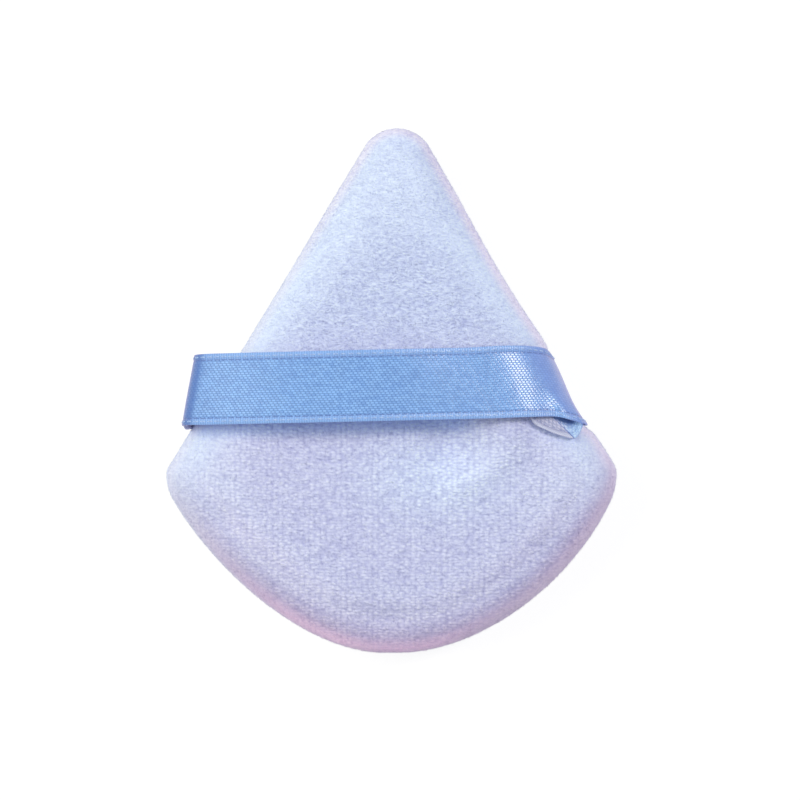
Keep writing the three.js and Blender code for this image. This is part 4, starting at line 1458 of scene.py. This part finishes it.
def velour_material():
    """Velour with its knit, its brushed nap and the colours of its zones, which paint light and shade at the
    rims and under the strap.
    """
    material, pattern, shader = new_material("velour", {
        "Roughness": 0.95,
        "Specular IOR Level": 0.1,
        "Sheen Weight": 0.3,
        "Sheen Roughness": 0.4,
        "Sheen Tint": (1.0, 0.88, 0.95),
    })
    middle, brushed = pattern.attribute("middle"), pattern.attribute("brushed")
    centre = pattern.mixed(brushed, VELOUR_KNIT, VELOUR_BRUSHED)
    # Paler and bluer towards the rims: partly the smoother nap, partly painted light
    colour = pattern.mixed(middle, VELOUR_OUTER, centre)
    # Zones laid on in turn; all but the pressed one are painted light and shade
    for zone, tint in VELOUR_ZONES.items():
        colour = pattern.mixed(pattern.attribute(zone), colour, tint)

    stitch_place = pattern.stretched(STITCH_PATTERN_PITCH, *STITCH_PATTERN_WARP)
    stitch_settings = {"Scale": 1, "Randomness": STITCH_PATTERN_RANDOM}
    stitches = pattern.texture("Voronoi", stitch_place, stitch_settings, "Distance")
    knit = pattern.number("MULTIPLY_ADD", stitches, *STITCH_PATTERN_LEVEL)
    nap_place = pattern.stretched(NAP_PATTERN_PITCH, *NAP_PATTERN_WARP)
    dashes = pattern.texture("Noise", nap_place, {"Scale": 1, "Detail": 2}, "Fac")
    nap = pattern.number("MULTIPLY_ADD", dashes, *NAP_PATTERN_LEVEL)
    softness = pattern.number("MULTIPLY_ADD", middle, *SOFTNESS_LEVEL)
    centred = pattern.number("SUBTRACT", pattern.between(brushed, knit, nap), 0.5)
    fine = pattern.number("MULTIPLY", centred, softness)

    level = pattern.number("MULTIPLY_ADD", pattern.attribute("tuft"), *TUFT_LEVEL)
    for part, amount in [
        (fine, VELOUR_CONTRAST),
        (pattern.noise(GRAIN_PITCH, 2), GRAIN_LEVEL),
        (pattern.noise(CLOUD_PITCH, 2), CLOUD_LEVEL),
    ]:
        level = pattern.number("MULTIPLY_ADD", part, amount, level)
    blue_level = pattern.number("MULTIPLY", pattern.number("POWER", level, HOLLOW_BLUE), NAP_BLUE)
    toned = pattern.vector("MULTIPLY", colour, pattern.joined(level, level, blue_level))
    pattern.feed(toned, shader.inputs["Base Color"])
    pattern.bump(shader, fine, *VELOUR_BUMP)
    return material


def satin_material(name, gap, face, selvage, roughness, turned=None):
    """Satin with its long floats, its ribbed selvages and the stitched groove inside them, with painted shade
    on its slopes and in the tuck, and painted light where the tuck turns it up.
    """
    material, pattern, shader = new_material(name, {
        "Roughness": roughness,
        "IOR": 1.5,
        "Specular IOR Level": 1.0,
        "Specular Tint": (1.0, 0.95, 0.88),
        "Anisotropic": 0.6,
        "Anisotropic Rotation": 0.25,
        "Sheen Weight": 0.5,
        "Sheen Tint": (1.0, 0.66, 0.95),
    })
    tangent = pattern.step("Tangent", (), (), "Tangent", direction_type="UV_MAP", uv_map="weave")
    pattern.feed(tangent, shader.inputs["Tangent"])
    uv = pattern.step("UVMap", (), (), "UV", uv_map="weave")
    along = pattern.step("SeparateXYZ", (uv,), ("Vector",), "X")
    across = pattern.step("SeparateXYZ", (uv,), ("Vector",), "Y")

    row = pattern.number("DIVIDE", across, SATIN_ROW * MM)
    row_number = pattern.number("FLOOR", row)
    start = pattern.number("MULTIPLY", row_number, SATIN_STEP)
    float_run = pattern.number("ADD", pattern.number("DIVIDE", along, SATIN_FLOAT * MM), start)
    lengthwise = pattern.rounded(pattern.number("FRACT", float_run))
    crosswise = pattern.rounded(pattern.number("FRACT", row))
    cell = pattern.joined(row_number, pattern.number("FLOOR", float_run))
    uneven = pattern.texture("WhiteNoise", cell, {}, "Value", noise_dimensions="2D")
    floats = pattern.number("SQRT", pattern.number("MULTIPLY", crosswise, lengthwise))
    fullness = pattern.number("MULTIPLY_ADD", uneven, *SATIN_FULLNESS_LEVEL)
    floats = pattern.number("MULTIPLY", floats, fullness)

    groove_at = (RIBBON_WIDTH / 2 - SELVAGE_WIDTH) * MM
    reach = pattern.number("SUBTRACT", pattern.number("ABSOLUTE", across), groove_at)
    in_selvage = pattern.number("GREATER_THAN", reach, 0)
    rib = pattern.rounded(pattern.repeated(along, SELVAGE_RIB))
    groove = pattern.number("LESS_THAN", pattern.number("ABSOLUTE", reach), GROOVE_WIDTH * MM)
    stitch = pattern.rounded(pattern.repeated(along, SELVAGE_STITCH))
    dash = pattern.number("GREATER_THAN", stitch, DASH_START)
    dark = pattern.number("MULTIPLY", groove, pattern.number("MULTIPLY_ADD", dash, *DASH_LEVEL))

    weave = pattern.mixed(floats, gap, face)
    ribbed = pattern.mixed(pattern.number("MULTIPLY_ADD", rib, *RIB_LEVEL), gap, selvage)
    colour = pattern.mixed(in_selvage, weave, ribbed)
    if turned:
        shown = pattern.attribute("turned")
        # The face where the tuck turns the ribbon up, in lighter colours as painted light on it
        colour = pattern.mixed(shown, colour, pattern.mixed(floats, *turned))
        # Painted shade deep in the tuck's fold, and a line of painted shade along its crease
        inward = pattern.number("MULTIPLY_ADD", across, 1 / (TUCK_SHADE_FADE * MM), TUCK_SHADE_START)
        inward = pattern.number("MINIMUM", pattern.number("MAXIMUM", inward, 0), TUCK_SHADE_MOST)
        dark = pattern.number("MULTIPLY", dark, TURNED_GROOVE)
        for line in [pattern.rounded(shown), pattern.number("MULTIPLY", inward, shown)]:
            dark = pattern.number("MAXIMUM", dark, line)
    else:
        # Painted shade on the left loop where it turns down, and painted violet-blue shade on the right slope
        colour = pattern.mixed(pattern.attribute("bent"), colour, gap)
        colour = pattern.mixed(pattern.attribute("glancing"), colour, SATIN_SLOPE_SHADE)
    colour = pattern.mixed(dark, colour, SATIN_SHADE)
    wear = pattern.number("MULTIPLY_ADD", pattern.noise(SATIN_WEAR_PITCH, 3), *SATIN_WEAR_LEVEL)
    pattern.feed(pattern.vector("MULTIPLY", colour, wear), shader.inputs["Base Color"])
    height = pattern.number("ADD", floats, pattern.number("MULTIPLY", in_selvage, rib))
    pattern.bump(shader, height, *SATIN_BUMP)
    return material


def thread_material():
    """Spun thread: fine diagonal twist bands."""
    material, pattern, shader = new_material("sewing_thread", {"Roughness": 0.55, "Sheen Weight": 0.2})
    settings = {"Scale": 1 / (THREAD_TWIST * MM), "Distortion": 1.5}
    twist = pattern.texture("Wave", pattern.place(), settings, "Fac", bands_direction="DIAGONAL")
    pattern.feed(pattern.mixed(twist, THREAD_DARK, THREAD_LIGHT), shader.inputs["Base Color"])
    pattern.bump(shader, twist, *THREAD_BUMP)
    return material


def foam_material():
    """Soft foam: cream with open pores."""
    material, pattern, shader = new_material("foam", {"Roughness": 0.95})
    pores = pattern.texture("Voronoi", pattern.place(), {"Scale": 1 / (FOAM_PORE * MM)}, "Distance")
    depth = pattern.number("MULTIPLY", pores, FOAM_PORE_CONTRAST)
    pattern.feed(pattern.mixed(depth, FOAM_HOLLOW, FOAM_CREAM), shader.inputs["Base Color"])
    pattern.bump(shader, pores, *FOAM_BUMP)
    return material


# Stage

def add_lamp(name, direction, size, energy, colour):
    lamp = bpy.data.lights.new(name, "AREA")
    lamp.size = size
    lamp.energy = energy
    lamp.color = colour
    holder = bpy.data.objects.new(name, lamp)
    bpy.context.scene.collection.objects.link(holder)
    towards = Vector(direction).normalized()
    holder.location = towards * LAMP_DISTANCE
    holder.rotation_euler = towards.to_track_quat("Z", "Y").to_euler()
    return holder


def add_camera():
    scene = bpy.context.scene
    camera = bpy.data.objects.new("camera", bpy.data.cameras.new("camera"))
    scene.collection.objects.link(camera)
    scene.camera = camera
    camera.data.lens = CAMERA_LENS
    camera.data.sensor_width = CAMERA_SENSOR
    camera.data.clip_start = CAMERA_NEAREST * MM
    distance = PICTURE_WIDTH * CAMERA_LENS / CAMERA_SENSOR
    camera.location = Vector((CAMERA_X, CAMERA_Y, SEAM_HEIGHT + distance)) * MM


def seen_directly(pattern):
    """1 for rays from the camera, or through gloss or glass, and 0 for the light that falls on things."""
    path = pattern.nodes.new("ShaderNodeLightPath")
    seen = path.outputs["Is Camera Ray"]
    for name in ["Is Glossy Ray", "Is Transmission Ray"]:
        seen = pattern.number("MAXIMUM", seen, path.outputs[name])
    return seen


def pale_world():
    world = bpy.data.worlds.new("studio")
    bpy.context.scene.world = world
    pattern = Pattern(world)
    background = pattern.nodes["Background"]
    seen = seen_directly(pattern)
    strength = pattern.number("MULTIPLY_ADD", seen, 1 - WORLD_LEVEL, WORLD_LEVEL)
    pattern.feed(pattern.mixed(seen, WORLD_COLOUR, WHITE), background.inputs["Color"])
    pattern.feed(strength, background.inputs["Strength"])


def white_floor():
    """A floor that the camera sees as nearly white, and that lights the puff as a plain pale one."""
    material = bpy.data.materials.new("white_floor")
    pattern = Pattern(material)
    pattern.nodes.remove(pattern.nodes["Principled BSDF"])
    seen = seen_directly(pattern)
    shade = pattern.number("MULTIPLY_ADD", seen, FLOOR_SEEN_COLOUR - FLOOR_COLOUR, FLOOR_COLOUR)
    diffuse = pattern.step("BsdfDiffuse", (shade,), ("Color",), "BSDF")
    strength = pattern.number("MULTIPLY", seen, FLOOR_GLOW)
    glow = pattern.step("Emission", (strength,), ("Strength",), "Emission")
    both = pattern.step("AddShader", (diffuse, glow), range(2), "Shader")
    pattern.feed(both, pattern.nodes["Material Output"].inputs["Surface"])
    corners = np.array([(-1, -1, 0), (1, -1, 0), (1, 1, 0), (-1, 1, 0)]) * FLOOR_REACH
    floor = new_mesh_object("floor", corners / MM, [(0, 1, 2, 3)], material)


def studio():
    bpy.context.scene.view_settings.view_transform = "Standard"
    add_camera()
    key = add_lamp("key", KEY_DIRECTION, KEY_SIZE, KEY_ENERGY, KEY_COLOUR)
    key.visible_glossy = False
    add_lamp("shine", SHINE_DIRECTION, SHINE_SIZE, SHINE_ENERGY, SHINE_COLOUR)
    add_lamp("glint", GLINT_DIRECTION, GLINT_SIZE, GLINT_ENERGY, WHITE)
    pale_world()
    white_floor()


# Making

studio()
velour = velour_material()
satin = satin_material("satin", SATIN_GAP, SATIN_FACE, SATIN_SELVAGE, SATIN_ROUGHNESS)
reverse_colours = (REVERSE_GAP, REVERSE_FACE, REVERSE_SELVAGE)
turned_lit_colours = (TURNED_LIT_GAP, TURNED_LIT_FACE)
satin_reverse = satin_material("satin_reverse", *reverse_colours, REVERSE_ROUGHNESS, turned_lit_colours)
thread = thread_material()
foam = foam_material()

front = cover("front_cover", 1, front_plateau, FRONT_CROWN, math.inf, FRONT_PITCH, velour)
back = cover("back_cover", -1, back_plateau, BACK_CROWN, SEAM_HEIGHT, BACK_PITCH, velour)
for piece, node in [(front, "front_panel"), (back, "back_panel")]:
    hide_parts(node)
    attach(piece, "pad")

fibre = fibre_shape(velour)
tree, pile_inputs = pile_tree()
for name, piece in [("front_pile", front), ("back_pile", back)]:
    pile = pile_on(name, piece, tree, pile_inputs, fibre, velour)
    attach(pile, "pad")
bpy.data.objects.remove(fibre)

for name in ["needle_thread", "bobbin_thread", "closing_stitch", "left_tack", "right_tack"]:
    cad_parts[name].data.materials.clear()
    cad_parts[name].data.materials.append(thread)
filling = foam_filling(foam)
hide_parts("foam_core")
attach(filling, "pad")

stitch = stitch_shape(thread)
tree, stitch_inputs = stitch_tree()
for side, end_points, joined_first, nodes_replaced, (start, end) in [
    ("left", left_end_points, False, ["ribbon_left_end", "ribbon_span"], LEFT_FLEX),
    ("right", right_end_points, True, ["ribbon_right_end"], RIGHT_FLEX),
]:
    half_name = f"ribbon_{side}_half"
    ribbon, length, places = ribbon_half(half_name, end_points, joined_first, satin, satin_reverse)
    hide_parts(*nodes_replaced)
    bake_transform(ribbon)
    run = stitches_at(f"ribbon_{side}_stitches", places, STITCH_SIZE, tree, stitch_inputs, stitch, thread)
    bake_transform(run)
bpy.data.objects.remove(stitch)
